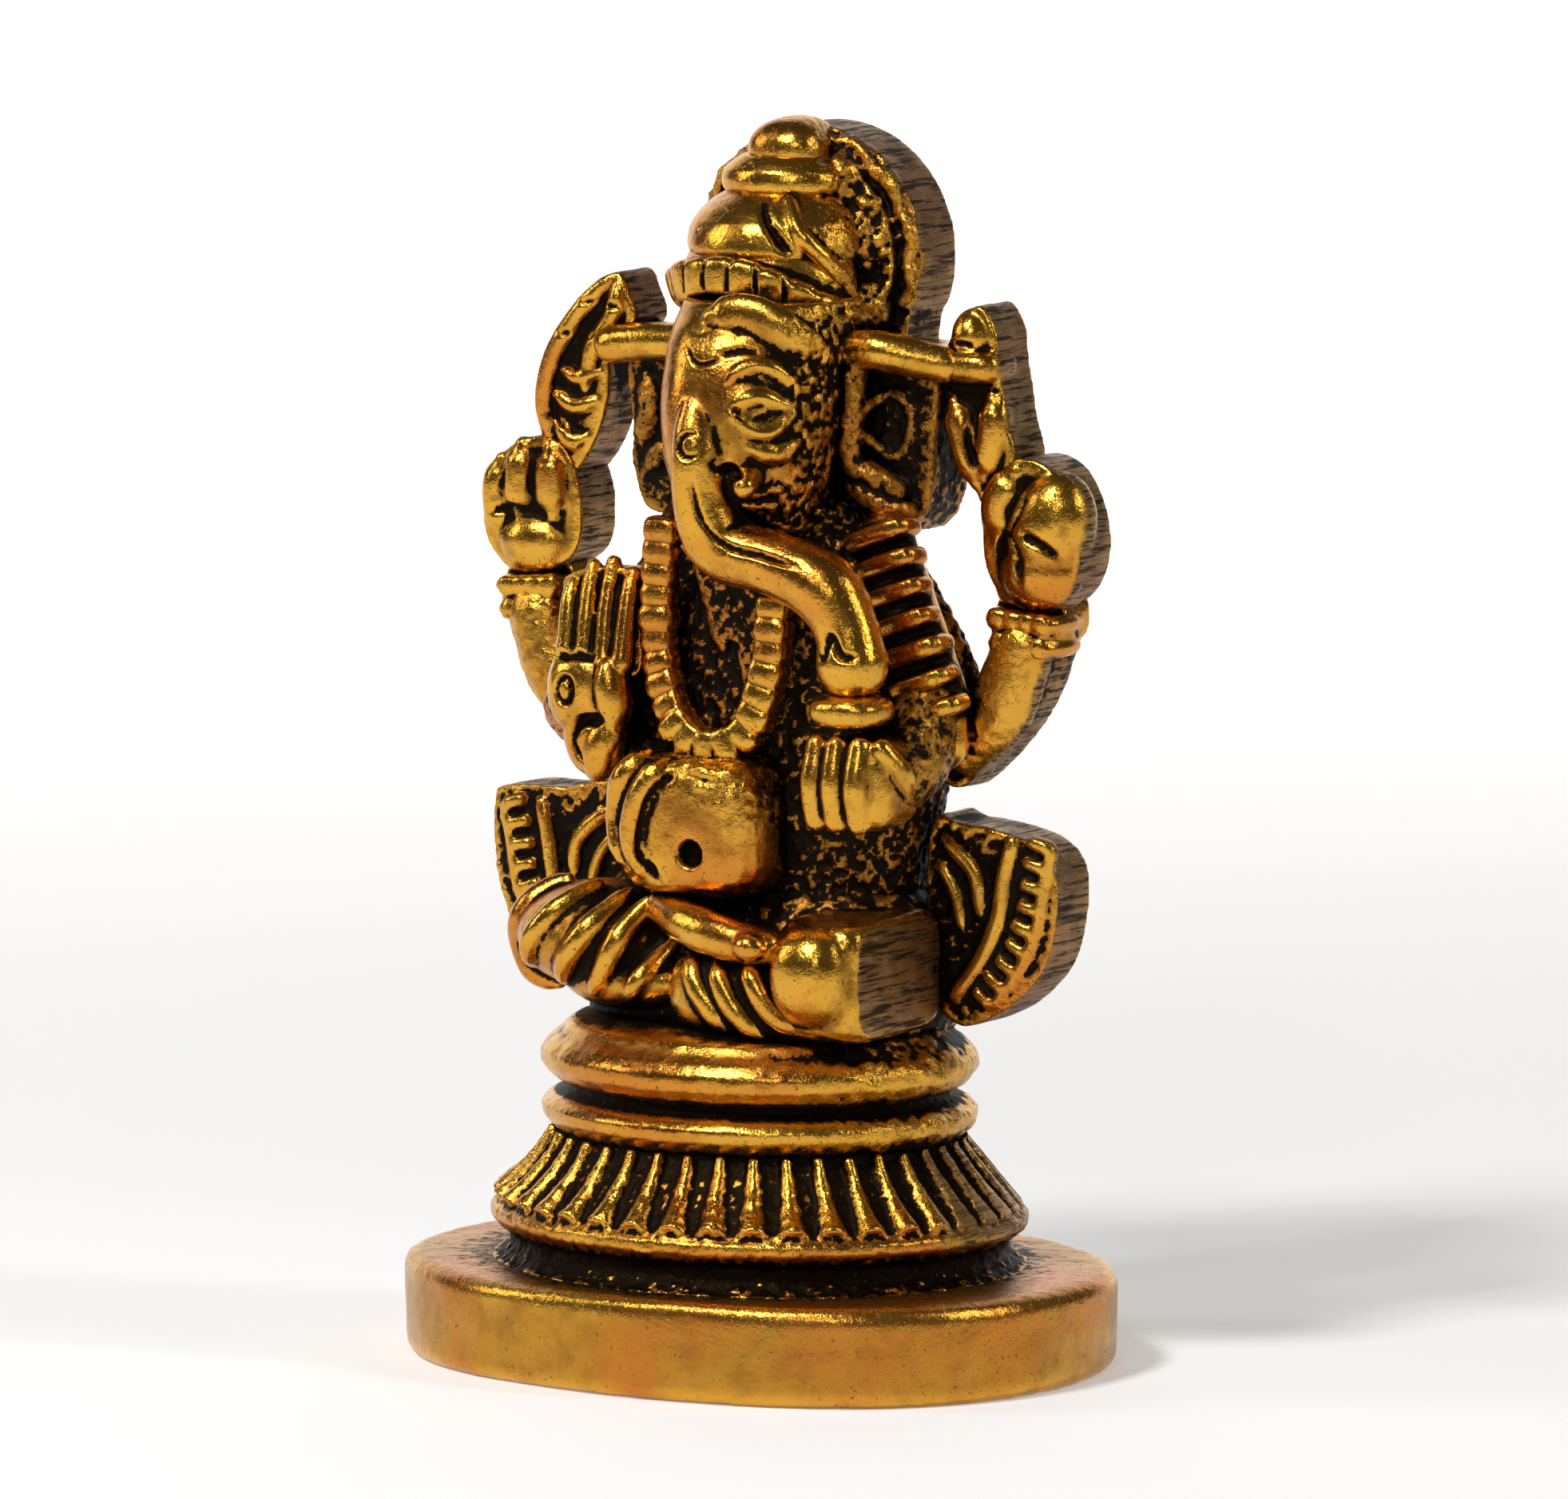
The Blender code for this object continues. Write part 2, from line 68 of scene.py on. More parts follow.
class FigureSizes(bpy.types.PropertyGroup):
    """Sizes that a caster would change."""

    skin: FloatProperty(
        name="Skin step", description="Distance between points of the cast skin",
        default=0.00016, min=0.0001, unit="LENGTH")
    rib_count: IntProperty(
        name="Skirt ribs", description="Ribs all round the flared skirt", default=40, min=8)
    bead_count: IntProperty(
        name="Garland beads", description="Segments of the necklace", default=20, min=6)
    band_count: IntProperty(
        name="Crown plates", description="Plates round the crown band", default=13, min=4)
    fringe_count: IntProperty(
        name="Fringe tufts", description="Tufts on each cushion end", default=9, min=3)


class FigureFinish(bpy.types.PropertyGroup):
    """Colours of the aged brass."""

    polished: FloatVectorProperty(
        name="Polished brass", description="Rubbed high points", subtype="COLOR",
        size=4, default=(0.69, 0.355, 0.043, 1.0), min=0, max=1)
    warm: FloatVectorProperty(
        name="Warm brass", description="Middle heights, handled but not rubbed",
        subtype="COLOR", size=4, default=(0.33, 0.145, 0.018, 1.0), min=0, max=1)
    copper: FloatVectorProperty(
        name="Copper tint", description="Orange clouds where the brass is copper-rich",
        subtype="COLOR", size=4, default=(0.56, 0.19, 0.028, 1.0), min=0, max=1)
    wall: FloatVectorProperty(
        name="Filed wall", description="Dull filed side walls", subtype="COLOR",
        size=4, default=(0.17, 0.105, 0.06, 1.0), min=0, max=1)
    # Black of the patina, laid also as painted shade where neighbouring metal would shade the brass.
    patina_and_shade: FloatVectorProperty(
        name="Patina", description="Black left in the recesses", subtype="COLOR",
        size=4, default=(0.013, 0.008, 0.004, 1.0), min=0, max=1)


# ---------------------------------------------------------------- small geometry helpers

def smooth_path(points, step=0.12, closed=False):
    """Catmull-Rom curve through the points, sampled about every step."""
    knots = np.asarray(points, float)
    count = len(knots)
    if count < 3 and not closed:
        length = np.linalg.norm(knots[-1][:3] - knots[0][:3])
        t = np.linspace(0, 1, max(2, int(length / step) + 1))[:, None]
        return knots[0] * (1 - t) + knots[-1] * t
    out = []
    last = count if closed else count - 1
    for i in range(last):
        if closed:
            p0, p1, p2, p3 = (knots[(i + k) % count] for k in (-1, 0, 1, 2))
        else:
            p1, p2 = knots[i], knots[i + 1]
            p0 = knots[i - 1] if i else 2 * p1 - p2
            p3 = knots[i + 2] if i + 2 < count else 2 * p2 - p1
        steps = max(2, int(np.linalg.norm((p2 - p1)[:3]) / step))
        t = np.arange(steps)[:, None] / steps
        out.append(0.5 * (2 * p1 + (p2 - p0) * t + (2 * p0 - 5 * p1 + 4 * p2 - p3) * t ** 2
                          + (3 * p1 - p0 - 3 * p2 + p3) * t ** 3))
    if not closed:
        out.append(knots[-1:])
    return np.concatenate(out)


def superellipse(half_width, half_depth, power, count):
    """Oval outline, boxier as its power goes above 2."""
    angle = np.arange(count) * 2 * math.pi / count
    c, s = np.cos(angle), np.sin(angle)
    return np.stack([half_width * np.sign(c) * np.abs(c) ** (2 / power),
                     half_depth * np.sign(s) * np.abs(s) ** (2 / power)], 1)


def ease(value, low, high):
    """Smooth step from 0 at low to 1 at high."""
    t = np.clip((value - low) / (high - low), 0, 1)
    return t * t * (3 - 2 * t)


def corners(part):
    """The 8 corners of a grid cell, each with its weight for points at that part of the cell."""
    for corner in np.ndindex(2, 2, 2):
        yield corner, np.prod(np.where(corner, part, 1 - part), axis=1)


SCATTER = (73856093, 19349663, 83492791)    # primes that spread cells over the random table


def grain(points, size, seed):
    """Smooth random field from -1 to 1, with lumps of about the given size."""
    table = np.random.default_rng(seed).uniform(-1, 1, 4096)
    cell = np.floor(points / size).astype(np.int64)
    part = points / size - cell
    total = np.zeros(len(points))
    for corner, weight in corners(part * part * (3 - 2 * part)):
        x, y, z = ((cell + corner) * SCATTER).T
        total += table[(x ^ y ^ z) % len(table)] * weight
    return total


class Form:
    """Closed shapes laid into each other in millimetres, later fused into one cast skin."""

    def __init__(self):
        self.bm = bmesh.new()

    def loft(self, loops):
        """Skins a row of equal loops and closes both ends."""
        count = len(loops[0])
        for low, high in zip(loops, loops[1:]):
            for k in range(count):
                j = (k + 1) % count
                self.bm.faces.new((low[k], low[j], high[j], high[k]))
        self.bm.faces.new(reversed(loops[0]))
        self.bm.faces.new(loops[-1])
        return self

    def ball(self, centre, radii, turn=(0, 0, 0), power=2.0):
        """Ellipsoid; a power above 2 makes it boxier. turn is in degrees about X, Y, Z."""
        around = 40 if max(radii) > 1.2 else 16
        made = bmesh.ops.create_uvsphere(self.bm, u_segments=around, v_segments=around // 2 + 2,
                                         radius=1.0)
        spin = Matrix.Identity(3)
        for axis, degrees in zip("XYZ", turn):
            spin = Matrix.Rotation(math.radians(degrees), 3, axis) @ spin
        for vert in made["verts"]:
            p = vert.co
            if power != 2.0:
                size = sum(abs(c) ** power for c in p) ** (1 / power)
                p = p / size
            p = Vector([c * r for c, r in zip(p, radii)])
            vert.co = Vector(centre) + spin @ p
        return self

    def rod(self, route, flat=1.0, sides=20, step=0.4):
        """Bar along (x, y, z, radius) points; flat squeezes it front to back."""
        path = smooth_path(route, step)
        rings = []
        count = len(path)
        for i, (x, y, z, radius) in enumerate(path):
            ahead = path[min(i + 1, count - 1)][:3] - path[max(i - 1, 0)][:3]
            ahead = ahead / np.linalg.norm(ahead)
            side = np.cross(ahead, (0, 1, 0))
            if np.linalg.norm(side) < 0.2:
                side = np.cross(ahead, (1, 0, 0))
            side = side / np.linalg.norm(side)
            front = np.cross(side, ahead)
            ring = []
            for k in range(sides):
                a = 2 * math.pi * k / sides
                p = (x, y, z) + side * radius * math.cos(a) + front * radius * flat * math.sin(a)
                ring.append(self.bm.verts.new(p))
            rings.append(ring)
        self.loft(rings)
        for x, y, z, radius in (path[0], path[-1]):
            self.ball((x, y, z), (radius * 0.98, radius * 0.98 * flat, radius * 0.98))
        return self

    def plate(self, outline, front, back, smooth=True):
        """Flat plate from an outline in X and Z, between two depths."""
        path = smooth_path(outline, 0.4, closed=True) if smooth else np.asarray(outline, float)
        near = [self.bm.verts.new((x, front, z)) for x, z in path]
        far = [self.bm.verts.new((x, back, z)) for x, z in path]
        count = len(path)
        self.bm.faces.new(near)
        self.bm.faces.new(reversed(far))
        for i in range(count):
            j = (i + 1) % count
            self.bm.faces.new((near[j], near[i], far[i], far[j]))
        return self

    def stack(self, rings, count=72):
        """Loft through level rings (z, centre x, centre y, half width, half depth, power)."""
        loops = []
        for z, cx, cy, half_width, half_depth, power in smooth_path(rings, 0.5):
            outline = superellipse(max(half_width, 0.01), max(half_depth, 0.01), power, count)
            loops.append([self.bm.verts.new((cx + x, cy + y, z)) for x, y in outline])
        return self.loft(loops)

    def course(self, profile, ratio, power=2.0, count=160):
        """Oval course: a profile of (half width, z) from the bottom up, closed at both ends."""
        loops = []
        for half_width, z in profile:
            outline = superellipse(half_width, half_width * ratio, power, count)
            loops.append([self.bm.verts.new((x, y, z)) for x, y in outline])
        return self.loft(loops)

    def drape(self, points):
        """Depth of the front of the shapes so far, under a path of (x, z) points."""
        tree = BVHTree.FromBMesh(self.bm)
        depth = []
        for x, z in points:
            spot = tree.ray_cast(Vector((x, -40, z)), Vector((0, 1, 0)))[0]
            depth.append(spot.y if spot else np.nan)
        depth = np.array(depth)
        known = np.where(~np.isnan(depth))[0]
        return np.interp(np.arange(len(depth)), known, depth[known])

    def ridge(self, points, radius, sink=0.35, flat=1.0, tip=0.45, closed=False):
        """Rounded raised line laid on the front of the shapes so far, along (x, z) points."""
        path = smooth_path(points, 0.5, closed)
        depth = self.drape(path)
        for _ in range(2):
            depth[1:-1] = (depth[:-2] + 2 * depth[1:-1] + depth[2:]) / 4
        t = np.linspace(-1, 1, len(path))
        size = radius * (tip + (1 - tip) * np.sqrt(1 - np.abs(t) ** 3))
        if closed:
            size[:] = radius
            path, depth = np.vstack([path, path[:1]]), np.append(depth, depth[0])
            size = np.append(size, radius)
        route = np.stack([path[:, 0], depth + sink * size * flat, path[:, 1], size], 1)
        return self.rod(route, flat, sides=14, step=0.6)

    def bumps(self, spots, radii, sink=0.3):
        """Raised round or oval lumps on the front, at (x, z) spots."""
        for (x, z), depth in zip(spots, self.drape(spots)):
            self.ball((x, depth + sink * radii[1], z), radii)
        return self

    def take(self, mesh):
        """Adds a ready mesh, in metres, and drops it."""
        mesh.transform(Matrix.Scale(1 / MM, 4))
        self.bm.from_mesh(mesh)
        bpy.data.meshes.remove(mesh)
        return self

    def fuse(self, name, voxel=1.0, relax=4):
        """Fuses the shapes into one closed skin, softened like a casting."""
        bmesh.ops.recalc_face_normals(self.bm, faces=self.bm.faces)
        mesh = bpy.data.meshes.new(name)
        self.bm.to_mesh(mesh)
        self.bm.free()
        mesh.transform(Matrix.Scale(MM, 4))
        holder = bpy.data.objects.new(name + "_rough", mesh)
        bpy.context.scene.collection.objects.link(holder)
        remesh = holder.modifiers.new("fuse", "REMESH")
        remesh.mode = "VOXEL"
        remesh.voxel_size = bpy.context.scene.figure_sizes.skin * voxel * COARSE
        bpy.context.view_layer.update()
        evaluated = holder.evaluated_get(bpy.context.evaluated_depsgraph_get())
        skin = bpy.data.meshes.new_from_object(evaluated)
        bpy.data.objects.remove(holder)
        bpy.data.meshes.remove(mesh)
        skin.name = name
        return Skin(name, skin).relax(relax)


class Skin:
    """Fused skin whose points are pressed, cut and raised like a wax pattern, in millimetres."""

    def __init__(self, name, mesh):
        self.name = name
        self.mesh = mesh
        count = len(mesh.vertices)
        flat = np.empty(count * 3)
        mesh.vertices.foreach_get("co", flat)
        self.co = flat.reshape(-1, 3) / MM
        edges = np.empty(len(mesh.edges) * 2, np.int64)
        mesh.edges.foreach_get("vertices", edges)
        self.edges = edges.reshape(-1, 2)
        loops = np.empty(len(mesh.loops), np.int64)
        mesh.loops.foreach_get("vertex_index", loops)
        self.quads = loops.reshape(-1, 4)
        self.degree = np.bincount(self.edges.ravel(), minlength=count).astype(float)
        self.cut = np.zeros(count)          # dark line left in a cut; on the skirt's neck and the left bolster also painted shade
        self.filed = np.zeros(count)        # 1 where the wall was filed
        self.rough = np.zeros(count)        # 1 where the ground is granular

    def mean(self, values):
        """Average of each point's neighbours."""
        a, b = self.edges.T
        total = np.stack([
            np.bincount(a, values[b, k], len(values)) + np.bincount(b, values[a, k], len(values))
            for k in range(values.shape[1])], 1)
        return total / self.degree[:, None]

    def relax(self, rounds, amount=0.6):
        for _ in range(rounds):
            self.co += amount * (self.mean(self.co) - self.co)
        return self

    def normals(self):
        p = self.co[self.quads]
        across = np.cross(p[:, 2] - p[:, 0], p[:, 3] - p[:, 1])
        total = np.zeros_like(self.co)
        for corner in range(4):
            for k in range(3):
                total[:, k] += np.bincount(self.quads[:, corner], across[:, k], len(self.co))
        return total / np.maximum(np.linalg.norm(total, axis=1), 1e-12)[:, None]

    def on_front(self, points, spread=0.5):
        """Depth of the front surface under each (x, z) point."""
        normal = self.normals()
        path = np.asarray(points, float)
        low, high = path.min(0) - 2.0, path.max(0) + 2.0
        flat = self.co[:, (0, 2)]
        inside = np.all((flat > low) & (flat < high), axis=1)
        front = np.where((normal[:, 1] < -0.15) & inside)[0]
        if not len(front):
            raise ValueError(self.name + " has no front near " + str(points[0]))
        out = []
        for x, z in path:
            gap = np.hypot(self.co[front, 0] - x, self.co[front, 2] - z)
            near = front[gap < spread]
            depth = self.co[near, 1].min() if len(near) else self.co[front[gap.argmin()], 1]
            out.append((x, depth, z))
        return np.array(out)

    def line(self, points, width, depth, closed=False, ends=0.5):
        """Cuts (depth above 0) or raises (below 0) a line on the front, along (x, z) points.

        Points may be (x, y, z) too, to lie on any side of the piece."""
        path = smooth_path(points, min(0.15, width * 0.4), closed)
        if path.shape[1] == 2:
            path = self.on_front(path)
        low, high = path.min(0) - width, path.max(0) + width
        near = np.where(np.all((self.co > low) & (self.co < high), axis=1))[0]
        if not len(near):
            return self
        apart = np.linalg.norm(self.co[near][:, None] - path[None], axis=2)
        nearest = apart.argmin(1)
        gap = apart[np.arange(len(near)), nearest]
        shape = np.clip(1 - (gap / width) ** 2, 0, 1) ** 1.5
        if not closed and ends:
            along = nearest / max(len(path) - 1, 1) * len(path)
            taper = np.minimum(along, len(path) - 1 - along) / max(ends * len(path) * 0.4, 1)
            shape = shape * np.clip(0.25 + taper, 0, 1)
        normal = self.normals()[near]
        facing = ease(-normal[:, 1], -0.5, 0.2) if len(points[0]) == 2 else 1.0
        self.co[near] -= normal * (depth * shape * facing)[:, None]
        if depth > 0:
            self.cut[near] = np.maximum(self.cut[near], shape * facing)
        return self

    def dent(self, centre, radius, depth):
        """Round pit in the front; centre is (x, z)."""
        spot = self.on_front([centre])[0]
        gap = np.linalg.norm(self.co - spot, axis=1)
        near = gap < radius * 1.2
        shape = np.clip(1 - (gap[near] / radius) ** 2, 0, 1)
        normal = self.normals()[near].mean(0)
        self.co[near] -= normal / np.linalg.norm(normal) * (depth * shape)[:, None]
        self.cut[near] = np.maximum(self.cut[near], shape)
        return self

    def ring(self, centre, radii, width, depth):
        """Oval line cut in the front round (x, z)."""
        points = [(centre[0] + radii[0] * math.cos(a), centre[1] + radii[1] * math.sin(a))
                  for a in np.arange(16) * math.tau / 16]
        return self.line(points, width, depth, closed=True)

    def hollows(self, reach):
        """How far each point lies below its surroundings, smoothed over the given reach."""
        a, b = self.edges.T
        step = np.linalg.norm(self.co[a] - self.co[b], axis=1).mean()
        soft = self.co.copy()
        for _ in range(max(1, int(round(1.6 * (reach / step) ** 2)))):
            soft += 0.7 * (self.mean(soft) - soft)
        return np.einsum("ij,ij->i", soft - self.co, self.normals())

    def granulate(self, amount, size, seed, mask=None):
        """Rough sand-cast ground."""
        mask = np.ones(len(self.co)) if mask is None else mask
        lump = grain(self.co, size, seed) + 0.6 * grain(self.co, size * 0.5, seed + 1)
        self.co += self.normals() * (lump * amount * mask)[:, None]
        self.rough = np.maximum(self.rough, mask)
        return self

    def file_flat(self, limit):
        """Files the piece's right side back to a plane across X."""
        self.filed[self.co[:, 0] > limit - 0.02] = 1.0
        self.co[:, 0] = np.minimum(self.co[:, 0], limit)
        return self

    def mark_walls(self, low=0.45):
        """Marks side walls, which face neither front nor back, as filed."""
        facing = np.abs(self.normals()[:, 1])
        self.filed = np.maximum(self.filed, 1 - ease(facing, low - 0.2, low + 0.1))
        return self

    def keep(self, slot="polished_brass", nodes=None):
        """Gives the skin its uneven cast surface and remembers it until the brass is aged.

        It stands for the CAD nodes, or for the one of its own name, and has to lie where they do."""
        uneven = 0.7 * grain(self.co, 1.3, 71) + 0.3 * grain(self.co, 0.6, 72)
        self.co += self.normals() * (UNEVEN * uneven)[:, None]
        self.nodes = nodes or [self.name]
        boxes = [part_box(node) for node in self.nodes]
        low = np.min([box[0] for box in boxes], axis=0) / MM - STRAY
        high = np.max([box[1] for box in boxes], axis=0) / MM + STRAY
        if (self.co < low).any() or (self.co > high).any():
            raise ValueError(self.name + " lies away from its CAD box")
        self.slot = slot
        SKINS[self.name] = self
        return self


# ---------------------------------------------------------------- repeated shapes

def new_tree(name, inputs):
    """Empty Geometry Nodes tree with one geometry socket and the named inputs."""
    tree = bpy.data.node_groups.new(name, "GeometryNodeTree")
    tree.interface.new_socket("Geometry", in_out="INPUT", socket_type="NodeSocketGeometry")
    tree.interface.new_socket("Geometry", in_out="OUTPUT", socket_type="NodeSocketGeometry")
    for label, kind in inputs:
        tree.interface.new_socket(label, in_out="INPUT", socket_type="NodeSocket" + kind)
    return tree


def finish_tree(n, source, geometry):
    """Ends a tree: real geometry with its material."""
    real = n.add("GeometryNodeRealizeInstances", None, Geometry=geometry)
    paint = n.add("GeometryNodeSetMaterial", None, Geometry=real.outputs[0],
                  Material=source.outputs["Material"])
    n.add("NodeGroupOutput", None, i0=paint.outputs[0])


def row_tree():
    """Rounded beads set along a curve, each long across, along and out from it."""
    tree = bpy.data.node_groups.get("bead_row")
    if tree:
        return tree
    tree = new_tree("bead_row", [("Count", "Int"), ("Bead size", "Vector"),
                                 ("Jitter", "Float"), ("Material", "Material")])
    n = Nodes(tree)
    source = n.add("NodeGroupInput")
    spaced = n.add("GeometryNodeResampleCurve", None, Curve=source.outputs["Geometry"],
                   Count=source.outputs["Count"])
    points = n.add("GeometryNodeCurveToPoints", {"mode": "EVALUATED"}, Curve=spaced.outputs[0])
    box = n.add("GeometryNodeMeshCube", None, Size=(2.0, 2.0, 2.0), Vertices_X=3, Vertices_Y=3,
                Vertices_Z=3)
    bead = n.add("GeometryNodeSubdivisionSurface", None, Mesh=box.outputs[0], Level=1)
    jitter = n.add("FunctionNodeRandomValue", {"data_type": "FLOAT"}, i2=-1.0, i3=1.0, Seed=7)
    grow = n.math("ADD", 1.0, n.math("MULTIPLY", jitter.outputs[1], source.outputs["Jitter"]))
    size = n.add("ShaderNodeVectorMath", {"operation": "SCALE"}, i0=source.outputs["Bead size"],
                 Scale=grow)
    facing = n.add("FunctionNodeAxesToRotation",
                   {"primary_axis": "Z", "secondary_axis": "Y"},
                   Primary_Axis=points.outputs["Tangent"], Secondary_Axis=(0.0, -1.0, 0.0))
    beads = n.add("GeometryNodeInstanceOnPoints", None, Points=points.outputs[0],
                  Instance=bead.outputs[0], Rotation=facing.outputs[0], Scale=size.outputs[0])
    finish_tree(n, source, beads.outputs[0])
    return tree


def rib_tree():
    """Ribs that follow one sloping line and repeat round an oval."""
    tree = bpy.data.node_groups.get("rib_ring")
    if tree:
        return tree
    tree = new_tree("rib_ring", [("Count", "Int"), ("Ratio", "Float"), ("Top", "Vector"),
                                 ("Knee", "Vector"), ("Foot", "Vector"), ("Top radius", "Float"),
                                 ("Foot radius", "Float"), ("Material", "Material")])
    n = Nodes(tree)
    source = n.add("NodeGroupInput")
    spine = n.add("GeometryNodeCurveQuadraticBezier", None, Resolution=12,
                  Start=source.outputs["Top"], Middle=source.outputs["Knee"],
                  End=source.outputs["Foot"])
    along = n.add("GeometryNodeSplineParameter").outputs["Factor"]
    swell = n.math("POWER", along, 1.6)
    radius = n.add("ShaderNodeMapRange", None, Value=swell, To_Min=source.outputs["Top radius"],
                   To_Max=source.outputs["Foot radius"]).outputs[0]
    outline = n.add("GeometryNodeCurvePrimitiveCircle", None, Resolution=12, Radius=1.0)
    rib = n.add("GeometryNodeCurveToMesh", None, Curve=spine.outputs[0],
                Profile_Curve=outline.outputs[0], Scale=radius, Fill_Caps=True)
    places = n.add("GeometryNodePoints", None, Count=source.outputs["Count"])
    share = n.math("DIVIDE", n.add("GeometryNodeInputIndex").outputs[0], source.outputs["Count"])
    angle = n.math("MULTIPLY", share, 2 * math.pi)
    turn = n.add("ShaderNodeCombineXYZ", None, Z=angle)
    ribs = n.add("GeometryNodeInstanceOnPoints", None, Points=places.outputs[0],
                 Instance=rib.outputs[0], Rotation=turn.outputs[0])
    real = n.add("GeometryNodeRealizeInstances", None, Geometry=ribs.outputs[0])
    squeeze = n.add("ShaderNodeCombineXYZ", None, X=1.0, Y=source.outputs["Ratio"], Z=1.0)
    oval = n.add("GeometryNodeTransform", None, Geometry=real.outputs[0],
                 Scale=squeeze.outputs[0])
    finish_tree(n, source, oval.outputs[0])
    return tree


def run_tree(tree, data, values):
    """Evaluates a tree on the data with the named values, as one plain mesh."""
    holder = bpy.data.objects.new(tree.name, data)
    bpy.context.scene.collection.objects.link(holder)
    modifier = holder.modifiers.new("repeat", "NODES")
    modifier.node_group = tree
    for item in tree.interface.items_tree:
        if item.in_out == "INPUT" and item.name in values:
            modifier[item.identifier] = values[item.name]
    bpy.context.view_layer.update()
    evaluated = holder.evaluated_get(bpy.context.evaluated_depsgraph_get())
    mesh = bpy.data.meshes.new_from_object(evaluated)
    bpy.data.objects.remove(holder)
    return mesh


def bead_row(route, count, size, jitter=0.06):
    """Mesh of beads along (x, y, z) points; size is across, out and along, in millimetres."""
    curve = bpy.data.curves.new("bead_path", "CURVE")
    curve.dimensions = "3D"
    path = smooth_path(route, 0.3)
    spline = curve.splines.new("POLY")
    spline.points.add(len(path) - 1)
    for point, place in zip(spline.points, path):
        point.co = (*(place[:3] * MM), 1)
    mesh = run_tree(row_tree(), curve, {
        "Count": count, "Bead size": [s * MM for s in size], "Jitter": jitter,
        "Material": brass_material("polished_brass")})
    bpy.data.curves.remove(curve)
    return mesh


def rib_ring(count, ratio, top, knee, foot, top_radius, foot_radius):
    """Mesh of ribs round an oval; top, knee and foot are (half width, z) in millimetres."""
    return run_tree(rib_tree(), bpy.data.meshes.new("rib_seed"), {
        "Count": count, "Ratio": ratio, "Top": (top[0] * MM, 0, top[1] * MM),
        "Knee": (knee[0] * MM, 0, knee[1] * MM), "Foot": (foot[0] * MM, 0, foot[1] * MM),
        "Top radius": top_radius * MM, "Foot radius": foot_radius * MM,
        "Material": brass_material("polished_brass")})


# ---------------------------------------------------------------- pedestal

def half_size(node):
    """Half the width of a CAD node in millimetres, and its depth to its width."""
    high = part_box(node)[1]
    return round(high.x / MM, 1), round(high.y / high.x, 3)


OVAL = half_size("lotus_skirt")[1]      # depth of the pedestal's courses to their width


def shape_slab():
    """Oval foot plate, rough on top."""
    half, ratio = half_size("base_slab")
    form = Form().course([(half - 0.6, 0.0), (half - 0.1, 0.4), (half, 3.0), (half, 5.3),
                          (half - 0.3, 5.9), (half - 1.0, 6.1)], ratio, 2.3)
    skin = form.fuse("base_slab", 1.9, 2)
    on_top = ease(skin.co[:, 2], 5.6, 6.0)
    skin.co[:, :2] *= 1 + 0.012 * grain(skin.co, 6.0, 3)[:, None]
    skin.granulate(0.035, 0.45, 5, on_top)
    skin.cut = 0.34 * on_top * (1 - 0.6 * ease(skin.co[:, 0], 4.0, 15.0))
    skin.keep("slab_brass")


def shape_skirt():
    """Flared course with ribs all round."""
    sizes = bpy.context.scene.figure_sizes
    form = Form().course([(17.6, 5.9), (16.5, 6.2), (15.7, 6.9), (15.7, 7.7), (16.4, 8.1), (17.0, 8.6),
                          (17.0, 9.2), (16.1, 9.9), (12.6, 13.7), (12.4, 14.8)], OVAL)
    form.take(rib_ring(sizes.rib_count, OVAL, (13.0, 14.0), (13.9, 11.8), (16.3, 9.5), 0.36, 1.02))
    skin = form.fuse("lotus_skirt", 1.15, 1)
    neck = 1 - ease(skin.co[:, 2], 7.9, 8.4)
    skin.granulate(0.10, 0.45, 7, 0.5 + 0.5 * neck)
    skin.rough = np.maximum(neck, 0.4)
    # The neck under the rim is darkened: partly patina in its granular ground, partly painted shade
    # under the overhanging rim.
    skin.cut = np.maximum(skin.cut, 0.4 * neck)

    # The right end was filed: its ribs stand hardly proud of the slope.
    x, y, z = skin.co.T
    around = np.hypot(x, y / OVAL)
    turn = np.degrees(np.arctan2(y / OVAL, x))
    end = ease(turn, -24, -8) * (1 - ease(turn, 44, 60)) * (1 - neck)
    slope = np.interp(z, (9.2, 13.8), (17.1, 13.15))
    over = np.clip(around - slope, 0, None) * end
    skin.co[:, :2] *= (1 - over / around)[:, None]
    skin.filed = np.maximum(skin.filed, 0.75 * end)
    skin.keep()


def weather(skin):
    """Roughens a ring towards its right end, where it was never rubbed."""
    right = ease(skin.co[:, 0], 7.5, 12.5)
    skin.granulate(0.09, 0.7, 9, 0.25 + 0.75 * right)
    skin.rough = right
    skin.cut = 0.4 * right
    return skin


def shape_rings():
    """Two rounded courses under the seat."""
    lower = Form().course([(12.0, 13.6), (13.0, 14.2), (13.7, 14.9), (13.8, 15.6), (13.3, 16.1),
                           (12.3, 16.5), (12.0, 17.4)], OVAL)
    weather(lower.fuse("lower_ring", 1.3, 2)).keep()
    upper = Form().course([(12.2, 16.9), (13.1, 17.3), (13.8, 18.1), (13.8, 18.9), (13.2, 19.6),
                           (12.6, 20.0), (12.0, 20.7), (10.0, 21.2)], OVAL)
    weather(upper.fuse("upper_ring", 1.3, 2)).keep()


# ---------------------------------------------------------------- seated body

def shape_seat():
    """Hips behind and under the legs."""
    seat = Form().stack([(20.4, 0, 1.6, 11.4, 8.0, 2.6), (24.5, 0, 1.8, 11.8, 8.0, 2.6),
                         (28.4, 0, 1.8, 10.6, 6.8, 2.6), (30.0, 0, 2.0, 8.6, 5.6, 2.4)])
    skin = seat.fuse("seat", 1.3, 4)
    skin.granulate(0.12, 0.7, 11).keep("recess_brass")


